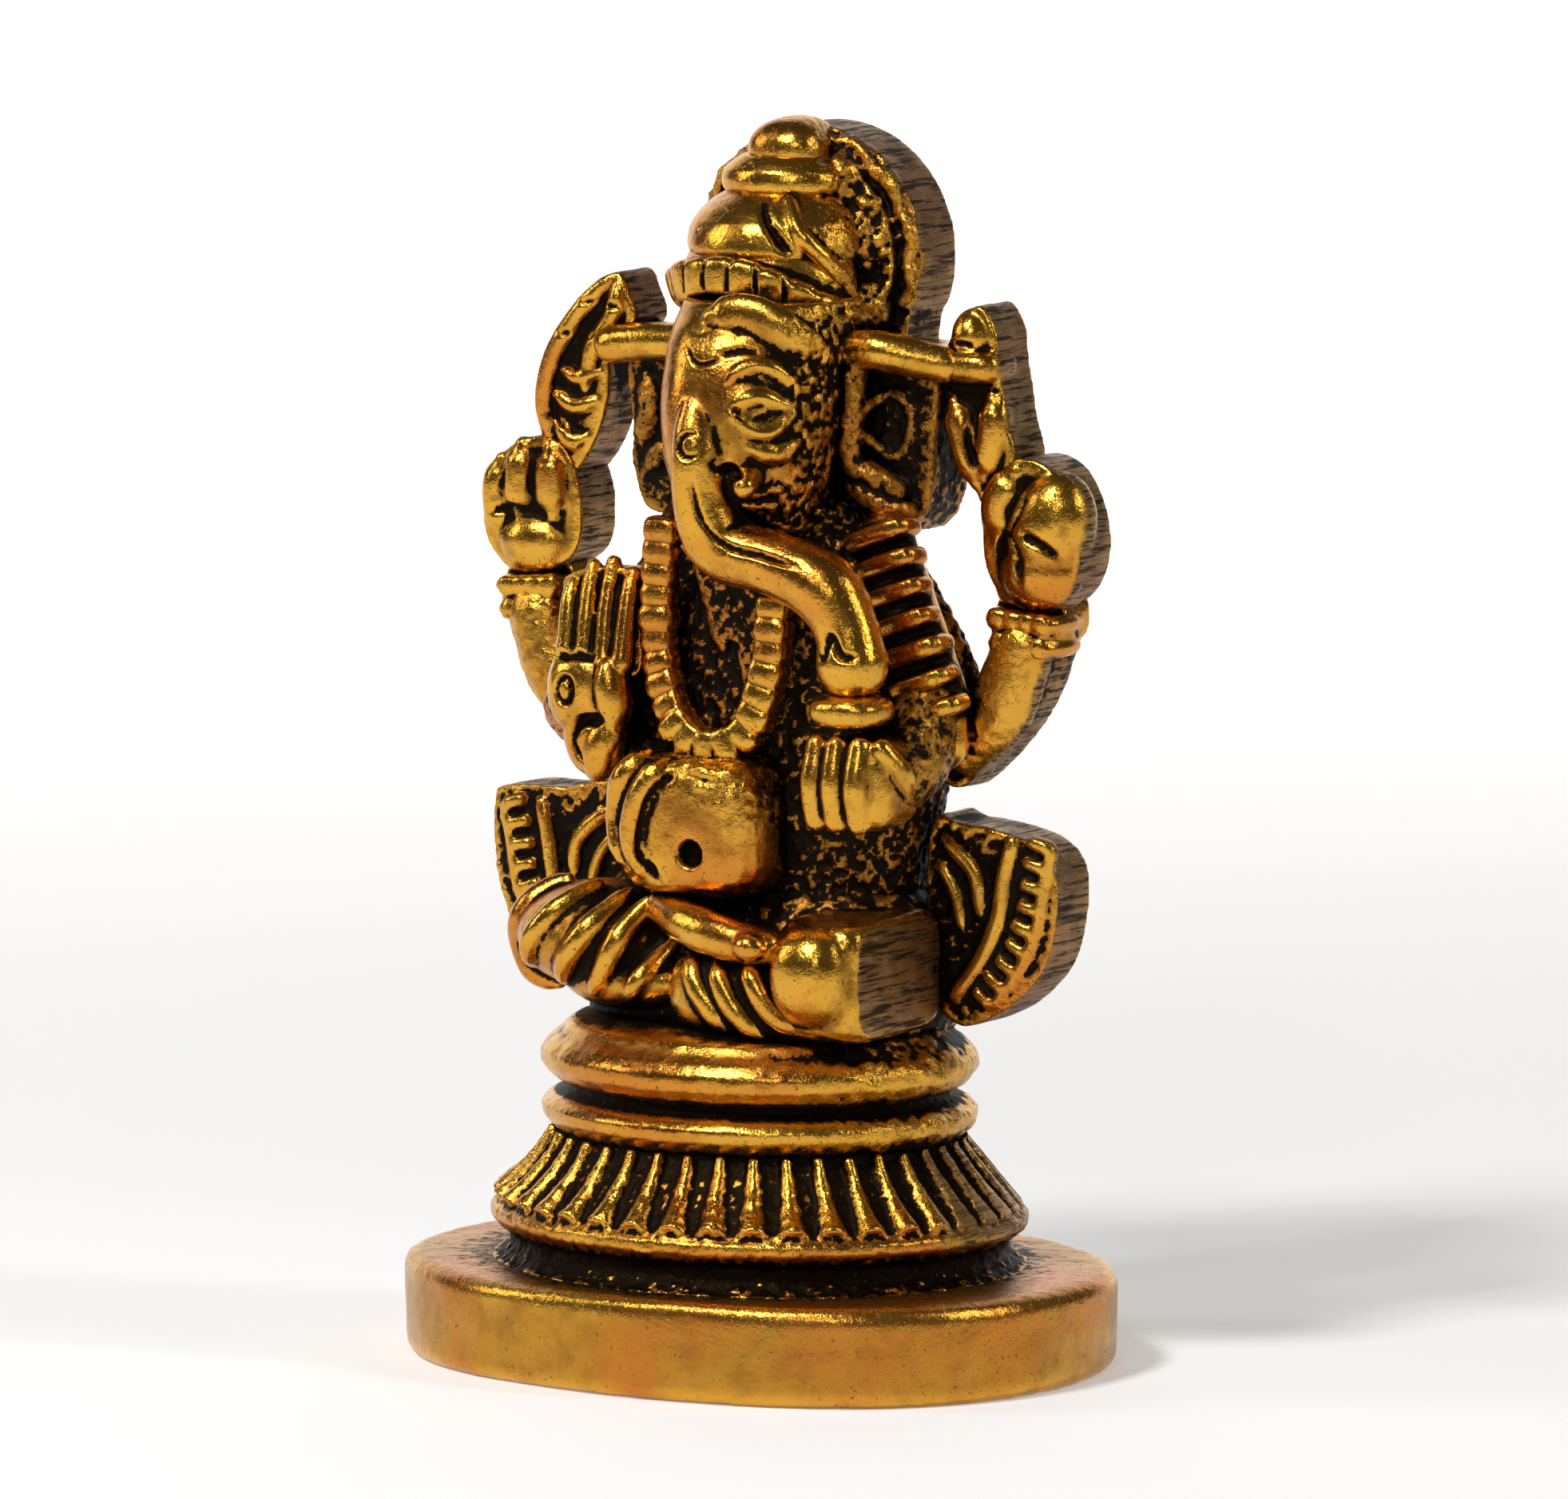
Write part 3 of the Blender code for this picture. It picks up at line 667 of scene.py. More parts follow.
def shape_left_leg():
    """Folded leg in pleated cloth."""
    left = Form().ball((-8.2, -4.4, 25.9), (5.7, 5.0, 3.4))
    left.ball((-5.6, -4.2, 23.6), (5.4, 4.4, 2.2))
    left.ridge([(-10.6, 29.2), (-12.4, 27.9), (-13.6, 25.8), (-13.0, 23.6), (-11.0, 22.8)], 0.95)
    left.ridge([(-7.4, 29.3), (-9.0, 28.0), (-10.6, 26.2), (-11.6, 24.2)], 0.78, 0.0)
    left.ridge([(-5.2, 29.0), (-6.2, 27.6), (-7.6, 25.6), (-9.2, 23.4)], 0.78, 0.0)
    left.ridge([(-3.6, 28.6), (-4.5, 27.2), (-5.2, 25.6), (-6.6, 23.0)], 0.78, 0.0)
    left.ridge([(-2.6, 27.8), (-2.7, 26.2), (-3.2, 24.6), (-4.2, 22.8)], 0.7, 0.0)
    skin = left.fuse("left_leg", 0.95, 4)
    skin.keep()


def shape_right_leg():
    """Folded leg with a bare knee, filed flat outside."""
    right = Form().ball((9.2, -3.4, 24.7), (3.2, 5.4, 3.8), power=6.0)
    right.ball((8.9, -6.9, 25.1), (2.9, 3.6, 3.3), power=2.4)
    skin = right.fuse("right_leg", 1.0, 4)
    skin.file_flat(12.1).keep()


def shape_foot():
    """Shin and foot across the front."""
    foot = Form().rod([(-2.9, -6.6, 28.2, 1.0), (0.4, -8.4, 27.6, 1.35), (3.6, -9.0, 27.0, 1.35),
                       (6.0, -8.8, 26.7, 1.1)])
    foot.bumps([(5.5, 26.8)], (1.1, 0.9, 0.9), 0.1)
    foot.fuse("crossed_foot", 0.9, 3).keep()


def shape_pleats():
    """Cloth fan under the foot."""
    pleats = Form().ball((3.6, -6.4, 23.4), (5.6, 2.7, 2.9), power=2.6)
    pleats.ridge([(6.1, 27.2), (7.2, 26.6), (8.4, 25.0), (9.6, 23.2), (10.8, 22.2)], 0.8, 0.0)
    pleats.ridge([(0.2, 25.6), (1.0, 24.2), (2.2, 22.6), (3.0, 21.6)], 0.8, 0.1)
    pleats.ridge([(2.4, 25.4), (3.2, 23.8), (4.4, 22.2), (5.4, 21.2)], 0.8, 0.1)
    pleats.ridge([(4.6, 25.6), (5.4, 24.2), (6.4, 22.8), (7.8, 21.6)], 0.8, 0.1)
    pleats.fuse("pleat_fan", 0.9, 3).keep()


def shape_bolsters():
    """Cushion ends with a fringe between two piped ribs."""
    tufts = bpy.context.scene.figure_sizes.fringe_count
    right = [(11.0, 33.2), (13.0, 33.5), (16.0, 33.2), (18.2, 32.6), (19.6, 31.4), (20.0, 29.8),
             (19.8, 27.6), (19.2, 25.4), (17.9, 23.6), (15.6, 21.9), (12.8, 21.2), (10.8, 24.0)]
    left = [(11.0, 33.6), (15.5, 33.7), (19.8, 33.5), (20.5, 32.4), (20.4, 28.4), (19.5, 25.6),
            (18.0, 23.4), (15.0, 21.6), (12.0, 21.4), (10.8, 24.0)]
    rib = [(16.9, 32.6), (16.4, 30.6), (15.9, 27.8), (14.7, 25.3), (12.9, 23.0)]
    for side, name, outline in ((1, "right_bolster", right), (-1, "left_bolster", left)):
        form = Form().plate([(side * x, z) for x, z in outline], 1.9, 5.8)
        form.ridge([(side * x, z) for x, z in rib], 0.62, 0.0, tip=0.8)
        form.ridge([(side * (x + 2.75), z - 0.3) for x, z in rib], 0.5, 0.0, tip=0.8)
        fringe = [(side * (x + 1.95), 1.9, z) for x, z in rib]
        form.take(bead_row(fringe, tufts, (0.85, 0.6, 0.42)))
        form.ridge([(side * 12.0, 32.6), (side * 14.2, 30.6), (side * 14.6, 28.2)], 0.6, 0.1)
        form.ridge([(side * 11.6, 31.2), (side * 12.8, 29.4), (side * 13.4, 27.0)], 0.5, 0.1)
        skin = form.fuse(name, 0.95, 2)
        ground = ease(-skin.normals()[:, 1], 0.5, 0.8) * ease(skin.co[:, 1], 1.55, 1.8)
        skin.granulate(0.10, 0.45, 13, ground)
        # The granular ground keeps patina; the left bolster is darkened all over besides (the 0.45),
        # which is painted shade.
        skin.cut = 0.6 * ground + (0.45 if side < 0 else 0.0)
        skin.mark_walls().keep("filed_brass")


def shape_torso():
    """Body, with the web of metal beside the shawl."""
    torso = Form().stack([(28.0, 0, 2.0, 9.6, 6.0, 2.6), (33.0, 0.2, 2.0, 10.4, 6.0, 2.6),
                          (38.0, 0.2, 2.0, 11.5, 6.2, 2.6), (43.0, 0.0, 2.2, 10.6, 6.0, 2.6),
                          (48.0, -0.2, 2.6, 9.0, 5.6, 2.6), (51.5, 0, 3.0, 7.6, 5.0, 2.4),
                          (53.0, 0, 3.2, 6.4, 4.4, 2.4)])
    torso.plate([(-2.0, 50.0), (3.2, 50.0), (3.1, 44.8), (1.6, 42.0), (0.7, 44.6), (-0.4, 43.6),
                 (-1.4, 46.4)], -4.2, 0.0)
    torso.rod([(8.8, 2.6, 48.4, 1.2), (10.9, 2.8, 45.4, 1.2), (12.2, 3.2, 42.4, 1.3),
               (12.5, 3.6, 39.4, 1.4)])
    skin = torso.fuse("torso", 1.15, 2)
    skin.granulate(0.14, 0.45, 21).keep("recess_brass")


def shape_belly():
    """Belly with its navel and folds."""
    belly = Form().ball((-0.6, -4.0, 33.4), (5.0, 4.7, 4.4), power=4.6)
    belly.ridge([(-3.6, 37.6), (-4.8, 35.8), (-5.4, 33.6), (-4.8, 31.2)], 0.9, 0.0)
    belly.ridge([(-1.9, 37.2), (-3.0, 35.4), (-3.7, 33.0), (-3.2, 30.6)], 0.9, 0.1)
    skin = belly.fuse("belly", 0.9, 4)
    skin.granulate(0.08, 0.5, 23, ease(skin.co[:, 2] + 0.5 * skin.co[:, 0], 34.5, 37.5))
    skin.dent((0.4, 31.9), 0.95, 1.2)
    skin.line([(-3.2, 37.2), (-4.2, 35.2), (-4.7, 33.0), (-4.0, 30.6)], 0.4, 0.5)
    skin.line([(-1.0, 36.8), (-2.2, 34.8), (-2.8, 32.2), (-2.0, 30.0)], 0.45, 0.6)
    skin.line([(0.0, 37.4), (2.0, 37.0), (3.8, 37.6)], 0.6, -0.3)
    skin.keep()


def shape_arms_and_bangles():
    """Flat-backed rear arms, each with a double bangle."""
    right_arm = [(15.0, 44.9), (18.9, 45.3), (18.5, 43.2), (17.7, 41.2), (16.6, 39.5), (14.6, 37.2),
                 (12.2, 35.4), (10.4, 37.0), (12.6, 40.0), (14.2, 42.4)]
    left_arm = [(-15.6, 45.2), (-20.4, 45.2), (-20.0, 43.2), (-18.8, 40.9), (-17.2, 38.6),
                (-14.6, 36.8), (-11.8, 35.8), (-10.4, 37.4), (-12.6, 40.0), (-14.6, 42.4)]
    for side, word, outline, wrist in ((1, "right", right_arm, 17.2), (-1, "left", left_arm, 18.0)):
        arm = Form().plate(outline, 3.0, 6.4)
        arm.rod([(side * (wrist - 4.2), 3.2, 37.8, 1.6), (side * (wrist - 1.8), 2.8, 40.4, 2.1),
                 (side * (wrist - 0.2), 2.8, 44.2, 2.0)], flat=0.8)
        skin = arm.fuse(word + "_raised_arm", 1.0, 4).granulate(0.045, 0.5, 15)
        skin.rough *= 0.5
        skin.mark_walls().keep("filed_brass")
        bangle = Form()
        for drop, width, beads in ((0.0, 2.1, 4), (-1.45, 1.9, 4)):
            low, high = side * (wrist - width), side * (wrist + width)
            level = 46.3 + drop
            bangle.rod([(low, 3.8, level - 0.2, 0.66), (high, 3.8, level - 0.4, 0.66)], flat=3.2)
            front = [(low + side * 0.6, 2.3, level - 0.2), (high - side * 0.6, 2.3, level - 0.4)]
            bangle.take(bead_row(front, beads, (0.7, 0.75, 0.7)))
        bangle.rod([(side * (wrist - 1.6), 3.8, 45.3, 0.9), (side * (wrist + 1.6), 3.8, 45.1, 0.9)],
                   flat=2.1)
        inner, outer = side * (wrist - 2.0), side * (wrist + 2.0)
        bangle.plate([(inner, 44.8), (outer, 44.8), (outer, 47.6), (inner, 47.6)], 3.4, 6.3)
        bangle.fuse(word + "_bangle", 0.9, 2).keep()


def shape_right_fist():
    """Fist round the goad."""
    fist = Form().plate([(14.6, 49.0), (14.4, 52.4), (15.6, 55.0), (17.4, 55.9), (19.6, 54.9),
                         (21.0, 52.0), (20.9, 49.0), (19.2, 46.9), (16.6, 46.8)], 2.4, 6.4)
    fist.ball((18.8, 3.2, 51.6), (2.7, 2.4, 3.7), (0, 20, 0))
    fist.ball((18.2, 3.0, 48.9), (2.7, 1.9, 2.2))
    fist.ball((17.5, 4.0, 48.0), (2.7, 1.8, 1.5), power=3.0)
    fist.ridge([(16.6, 55.0), (15.5, 53.0), (15.6, 50.8)], 1.4, 0.45)
    skin = fist.fuse("right_fist", 0.95, 6)
    skin.line([(17.8, 54.4), (17.4, 52.8), (16.6, 51.4), (17.4, 50.2), (17.6, 48.4)], 0.5, 0.55)
    skin.line([(18.0, 51.4), (19.4, 50.8), (20.6, 49.8)], 0.45, 0.42)
    skin.line([(15.4, 50.2), (16.2, 51.2), (16.8, 51.2)], 0.35, 0.3)
    skin.mark_walls(0.35).keep()


def shape_left_fist():
    """Fist round the axe."""
    fist = Form().plate([(-15.0, 48.0), (-14.4, 51.4), (-15.6, 54.6), (-17.8, 55.2),
                         (-20.4, 53.8), (-21.6, 50.6), (-21.0, 48.0), (-18.6, 46.6)], 2.4, 6.4)
    fist.ridge([(-20.3, 53.6), (-20.7, 51.6), (-20.4, 49.0)], 1.15, 0.5)
    fist.ridge([(-18.7, 54.6), (-18.9, 52.4), (-18.8, 50.4)], 1.3, 0.35)
    fist.ridge([(-16.6, 54.4), (-16.6, 52.4), (-16.4, 50.4)], 1.3, 0.35)
    fist.ball((-18.0, 3.2, 48.6), (2.8, 1.7, 2.0))
    skin = fist.fuse("left_fist", 0.95, 5)
    skin.line([(-20.6, 50.4), (-19.2, 50.7), (-17.6, 50.5)], 0.4, 0.3)
    skin.line([(-19.8, 53.6), (-20.0, 51.8)], 0.35, 0.3)
    skin.line([(-17.7, 54.2), (-17.8, 51.6)], 0.35, 0.35)
    skin.mark_walls(0.35).keep()


def shape_goad():
    """What the right fist holds."""
    goad = Form().plate([(13.7, 64.9), (15.0, 63.6), (15.3, 61.6), (15.9, 58.0), (16.4, 55.4),
                         (14.4, 52.6), (12.9, 56.0), (11.4, 59.4), (11.6, 62.2)], 2.6, 6.4)
    goad.ball((13.4, 3.4, 61.2), (2.2, 2.0, 1.1), power=3.0)
    goad.ball((13.3, 3.4, 63.0), (1.4, 1.7, 1.7))
    goad.ridge([(12.2, 59.0), (12.9, 57.0), (13.8, 54.2)], 1.15, 0.3)
    goad.ridge([(14.9, 59.2), (14.9, 57.2), (14.3, 54.6)], 1.1, 0.3)
    skin = goad.fuse("right_goad", 0.9, 3)
    skin.line([(11.6, 62.5), (13.2, 62.6), (15.2, 62.3)], 0.3, 0.4)
    skin.line([(11.4, 59.8), (13.2, 60.0), (15.6, 59.8)], 0.35, 0.5)
    skin.line([(13.6, 57.8), (13.7, 56.4), (14.2, 55.0)], 0.4, 0.5)
    skin.mark_walls(0.35).keep()


def shape_axe():
    """What the left fist holds."""
    axe = Form().plate([(-12.0, 65.6), (-11.0, 64.2), (-10.6, 62.6), (-12.4, 61.0),
                        (-12.6, 58.0), (-13.6, 55.0), (-15.4, 53.0), (-17.4, 55.0),
                        (-17.7, 57.8), (-16.8, 60.8), (-14.6, 64.0)], 2.6, 6.4)
    axe.ridge([(-12.4, 65.2), (-14.6, 63.0), (-16.4, 60.4), (-17.2, 57.6), (-16.9, 55.4)], 0.7, 0.1)
    axe.ridge([(-11.8, 64.8), (-12.2, 62.8), (-13.6, 60.8), (-14.2, 58.4)], 0.7, 0.2)
    axe.ridge([(-16.4, 58.0), (-15.0, 57.2), (-13.4, 57.6)], 0.5, 0.1)
    axe.ridge([(-15.8, 59.4), (-14.6, 59.0), (-13.2, 59.4)], 0.5, 0.1)
    axe.ridge([(-16.2, 56.2), (-15.2, 55.0), (-14.2, 55.4)], 0.6, 0.1)
    skin = axe.fuse("left_axe", 0.9, 2)
    skin.line([(-14.3, 63.7), (-12.6, 63.6), (-11.1, 63.4)], 0.3, 0.3)
    skin.line([(-15.8, 61.7), (-14.4, 61.6), (-13.2, 61.7)], 0.3, 0.3)
    skin.line([(-16.7, 56.7), (-15.2, 56.0), (-13.9, 55.7)], 0.35, 0.4)
    skin.mark_walls(0.35).keep()


# ---------------------------------------------------------------- head

def shape_head():
    """Elephant head with the trunk curled to the right and one short tusk."""
    head = Form().stack([(51.0, 0, 0.0, 4.6, 5.4, 2.2), (54.0, 0, -1.0, 5.4, 6.6, 2.2),
                         (58.0, 0, -1.3, 6.1, 7.0, 2.2), (62.4, 0, -0.8, 6.2, 6.4, 2.2),
                         (65.0, 0, 0.4, 6.0, 5.6, 2.2)])
    head.rod([(0.0, -5.8, 60.6, 1.4), (0.2, -7.5, 56.8, 1.8), (0.4, -7.2, 52.8, 2.0),
              (1.6, -6.6, 50.4, 2.0), (5.0, -6.2, 49.6, 2.0), (8.4, -6.0, 48.2, 2.2),
              (9.9, -5.9, 45.8, 2.0), (10.3, -5.9, 43.8, 2.25)])
    head.rod([(2.8, -5.0, 55.4, 1.0), (3.7, -7.6, 54.3, 0.75)])
    head.ridge([(0.2, 64.1), (2.4, 64.2), (4.3, 63.4), (6.0, 62.0)], 1.6, 0.3, flat=0.62)
    head.ridge([(2.3, 60.5), (3.2, 61.4), (4.5, 61.4), (5.7, 60.0)], 0.42, 0.1)
    head.ridge([(3.0, 59.3), (4.1, 59.7), (5.3, 59.0)], 0.5, 0.1)
    head.ridge([(2.8, 58.7), (3.6, 57.8), (4.6, 57.5), (5.5, 58.8)], 0.42, 0.1)
    head.ridge([(3.6, 56.6), (4.6, 56.2), (5.4, 56.8)], 0.7, 0.5)
    skin = head.fuse("head_and_trunk", 0.95, 4)
    left = (skin.co[:, 0] < 0) & (skin.co[:, 2] > 50.5)
    skin.co[left, 0] *= 0.68
    skin.line([(3.1, 58.9), (4.1, 58.4), (5.2, 58.7)], 0.42, 0.6)
    skin.line([(3.0, 60.6), (4.1, 60.7), (5.3, 60.0)], 0.4, 0.4)
    skin.line([(1.8, 62.2), (3.2, 62.5), (4.6, 62.1), (5.8, 61.2)], 0.4, 0.45)
    skin.line([(-1.0, 64.2), (-0.2, 63.4), (1.2, 63.9)], 0.3, 0.25)
    skin.line([(-0.8, 62.6), (0.4, 61.6), (2.0, 62.0)], 0.3, 0.25)
    skin.ring((0.8, 56.8), (0.7, 0.75), 0.28, 0.35)
    skin.line([(2.2, 56.0), (2.6, 55.2), (3.9, 55.4)], 0.6, 0.7)
    skin.line([(2.7, 53.4), (3.6, 53.0), (4.8, 53.4)], 0.5, 0.6)
    skin.line([(1.0, 54.6), (1.6, 52.2), (3.0, 50.8), (5.2, 50.3), (7.6, 49.8)], 0.35, 0.35)
    skin.line([(8.2, 44.6), (9.3, 44.4), (9.9, 45.6), (10.8, 44.6), (12.2, 44.6)], 0.4, 0.5)
    side = ease(skin.co[:, 0], 4.9, 5.7) * ease(skin.co[:, 2], 51.0, 52.0)
    cheek = side + ease(skin.co[:, 0], 3.0, 3.8) * (1 - ease(skin.co[:, 2], 54.2, 55.2)) * ease(
        skin.co[:, 2], 51.0, 51.6) * ease(skin.co[:, 1], -6.4, -5.6)
    cheek = np.clip(cheek, 0, 1)
    skin.granulate(0.14, 0.55, 61, cheek)
    skin.cut = np.maximum(skin.cut, 0.7 * cheek)
    skin.keep(nodes=["head", "trunk", "tusk"])


def shape_ears():
    """Ears."""
    right = Form().plate([(4.6, 60.6), (8.0, 61.0), (11.2, 60.6), (11.2, 56.4), (10.9, 53.0),
                          (9.4, 51.0), (7.0, 51.6), (4.6, 55.0)], 1.9, 6.2)
    right.rod([(6.7, 0.4, 62.0, 0.8), (6.6, 0.0, 58.0, 0.75), (6.3, 0.4, 55.4, 0.8),
               (7.6, 0.8, 54.4, 0.75), (9.0, 1.2, 53.6, 0.7)])
    right.rod([(6.4, 0.8, 53.8, 0.7), (8.0, 0.9, 52.8, 0.8), (9.8, 1.5, 52.2, 0.7)])
    right.ridge([(7.9, 59.3), (6.9, 57.6), (7.9, 55.6), (9.2, 56.0), (9.7, 57.6), (9.2, 59.0)],
                0.34, 0.1, closed=True)
    right.fuse("right_ear", 0.9, 2).granulate(0.08, 0.5, 31).keep("recess_brass")
    left = Form().plate([(-4.2, 60.0), (-8.0, 60.8), (-10.8, 60.4), (-10.6, 57.0), (-10.4, 53.4),
                         (-9.2, 51.2), (-6.0, 51.6), (-3.6, 55.0)], 2.2, 6.2)
    left.ridge([(-9.4, 59.4), (-9.2, 57.4), (-9.8, 55.4)], 0.9, 0.2)
    left.ridge([(-9.6, 53.6), (-8.6, 54.6), (-7.6, 55.4)], 0.7, 0.2)
    left.fuse("left_ear", 0.95, 2).granulate(0.08, 0.5, 33).keep("recess_brass")


def shape_link_bars():
    """Bars that tie the goad and the axe to the head."""
    bar = Form().rod([(6.2, 0.6, 62.0, 1.2), (8.6, 0.6, 62.0, 1.25), (12.0, 1.9, 61.3, 1.15)])
    bar.plate([(5.2, 60.6), (5.2, 62.4), (11.8, 62.4), (11.8, 60.6)], 1.6, 6.0, smooth=False)
    bar.fuse("right_link_bar", 0.9, 4).keep()
    bar = Form().rod([(-4.4, 1.8, 61.6, 1.1), (-8.6, 2.0, 61.6, 1.2), (-12.0, 2.2, 61.2, 1.2)])
    bar.plate([(-4.2, 60.6), (-4.2, 62.4), (-12.0, 62.4), (-12.0, 60.6)], 2.4, 6.0, smooth=False)
    bar.fuse("left_link_bar", 0.9, 4).keep()


CROWN_SHIFT = -0.5                      # the crown sits a little to one side


def lean_crown(skin, foot):
    """Draws in the back of a crown tier, roughens its halo side and darkens its foot."""
    back = ease(skin.co[:, 1], 1.6, 6.5)
    skin.co[:, 0] *= 1 - 0.3 * back
    skin.granulate(0.12, 0.5, 43, ease(skin.co[:, 0] + 0.8 * skin.co[:, 1], 3.5, 6.5))
    skin.cut = np.maximum(skin.cut, 0.6 * (1 - ease(skin.co[:, 2], foot, foot + 0.7)))
    return skin


def shape_crown_band():
    """Band of plates with a cut seam between each two."""
    plates = bpy.context.scene.figure_sizes.band_count
    c = CROWN_SHIFT
    band = Form().stack([(63.8, c, 2.6, 5.7, 5.6, 2.0), (66.0, c, 2.8, 5.8, 5.8, 2.0),
                         (67.5, c, 3.0, 5.4, 5.5, 2.0)])
    round_band = [(c + 5.9 * math.sin(a), 2.8 - 5.9 * math.cos(a),
                   66.4 - (2.9 if a > 0 else 1.5) * math.sin(a) ** 2)
                  for a in np.radians(np.linspace(-100, 90, 21))]
    band.take(bead_row(round_band, plates, (1.25, 0.75, 1.1), 0.03))
    skin = band.fuse("crown_band", 0.9, 2)
    seam = smooth_path(round_band, 0.1)
    for x, y, z in seam[np.linspace(0, len(seam) - 1, 2 * plates - 1).astype(int)][1::2]:
        out = 1.125                     # from the plates' centres to their faces
        x, y = c + (x - c) * out, 2.8 + (y - 2.8) * out
        skin.line([(x, y, z - 1.1), (x, y, z), (x, y, z + 1.1)], 0.22, 0.26, ends=0)
    lean_crown(skin, 62.4).keep()


def shape_dome():
    """Second tier, with a fold and a leaf."""
    c = CROWN_SHIFT
    dome = Form().stack([(66.8, c, 3.5, 5.2, 5.4, 2.0), (67.8, c, 3.6, 5.9, 5.9, 2.0),
                         (69.4, c, 3.8, 5.6, 5.6, 2.0), (70.6, c, 4.2, 4.6, 4.7, 2.0),
                         (71.4, c, 4.5, 3.4, 3.6, 2.0)])
    dome.rod([(1.8, 0.5, 70.8, 0.4), (3.2, -0.5, 69.0, 0.55), (4.5, 0.5, 67.2, 0.6),
              (5.3, 2.6, 65.0, 0.45)])
    skin = dome.fuse("crown_dome", 0.9, 2)
    skin.line([(0.4, 71.2), (1.5, 69.8), (2.4, 68.6), (3.2, 67.6)], 0.55, 0.65)
    skin.line([(-3.4, 69.6), (-2.9, 70.3), (-2.0, 70.4)], 0.3, 0.35)
    skin.dent((-3.7, 69.0), 0.35, 0.3)
    lean_crown(skin, 66.7).keep()


def shape_ring_and_finial():
    """Two upper tiers."""
    c = CROWN_SHIFT
    ring = Form().stack([(70.6, c, 4.8, 3.8, 3.8, 2.0), (71.3, c, 4.9, 4.5, 4.4, 2.0),
                         (72.4, c, 4.9, 4.4, 4.3, 2.0), (73.3, c, 4.9, 3.2, 3.4, 2.0)])
    lean_crown(ring.fuse("crown_ring", 0.9, 2), 70.7).keep()
    finial = Form().ball((c + 0.2, 4.7, 73.5), (2.9, 2.9, 2.1), power=2.3)
    finial.ball((c + 0.2, 4.8, 72.8), (2.2, 2.4, 2.0))
    skin = lean_crown(finial.fuse("crown_finial", 0.9, 2), 72.6)
    skin.keep()


def shape_halo():
    """Scalloped disc on its stem, with a row of flowers on its front."""
    radius = 8.0
    centre = round(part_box("halo")[1].z / MM, 1) - radius
    form = Form()
    outline = [(radius * math.cos(a), centre + radius * math.sin(a))
               for a in np.radians(np.arange(-30, 211, 12))]
    outline += [(-6.8, 58.0), (-6.8, 51.5), (0, 50.5), (6.8, 51.5), (6.8, 58.0)]
    form.plate(outline, 5.9, 9.9)
    form.plate([(x * 0.8, centre + (z - centre) * 0.8) for x, z in outline], 5.0, 7.0)
    wave = np.radians(np.arange(-20, 201, 5))
    rim = [((7.0 + 0.55 * abs(math.sin(7.0 * a))) * math.cos(a),
            centre + (7.0 + 0.55 * abs(math.sin(7.0 * a))) * math.sin(a)) for a in wave]
    form.ridge(rim, 0.55, -0.25, tip=0.8)
    turns = np.radians(np.arange(13, 180, 25.7))
    hubs = [(5.7 * math.cos(turn), centre + 5.7 * math.sin(turn)) for turn in turns]
    petals = [(x + 0.85 * math.cos(a), z + 0.85 * math.sin(a))
              for x, z in hubs for a in np.arange(5) * math.tau / 5]
    form.bumps(hubs, (0.55, 0.6, 0.55), 0.1)
    form.bumps(petals, (0.36, 0.4, 0.36), 0.1)
    for x, z, size in ((4.0, 64.2, 2.2), (3.4, 68.0, 2.6), (2.3, 71.4, 2.1)):
        form.ball((x, 6.2, z), (size, 2.6, size * 1.15))
    skin = form.fuse("halo", 1.0, 1)
    ground = ease(-skin.normals()[:, 1], 0.3, 0.7) * ease(9.0 - skin.co[:, 1], 0.0, 0.5)
    skin.granulate(0.15, 0.55, 41, ground)
    skin.rough *= ground
    skin.mark_walls().keep("filed_brass")


# ---------------------------------------------------------------- front of the figure

def shape_garland():
    """Beaded necklace."""
    beads = bpy.context.scene.figure_sizes.bead_count
    route = [(-3.9, -4.6, 51.0), (-4.1, -4.9, 46.6), (-3.7, -5.2, 42.6), (-2.0, -5.8, 39.2),
             (0.4, -6.0, 38.1), (2.9, -5.8, 39.3), (4.1, -5.4, 43.0), (4.3, -5.0, 46.8)]
    garland = Form().rod([(*p, 0.8) for p in route])
    garland.take(bead_row(route, beads, (1.2, 0.95, 0.8), 0.06))
    garland.fuse("garland", 0.85, 1).keep()


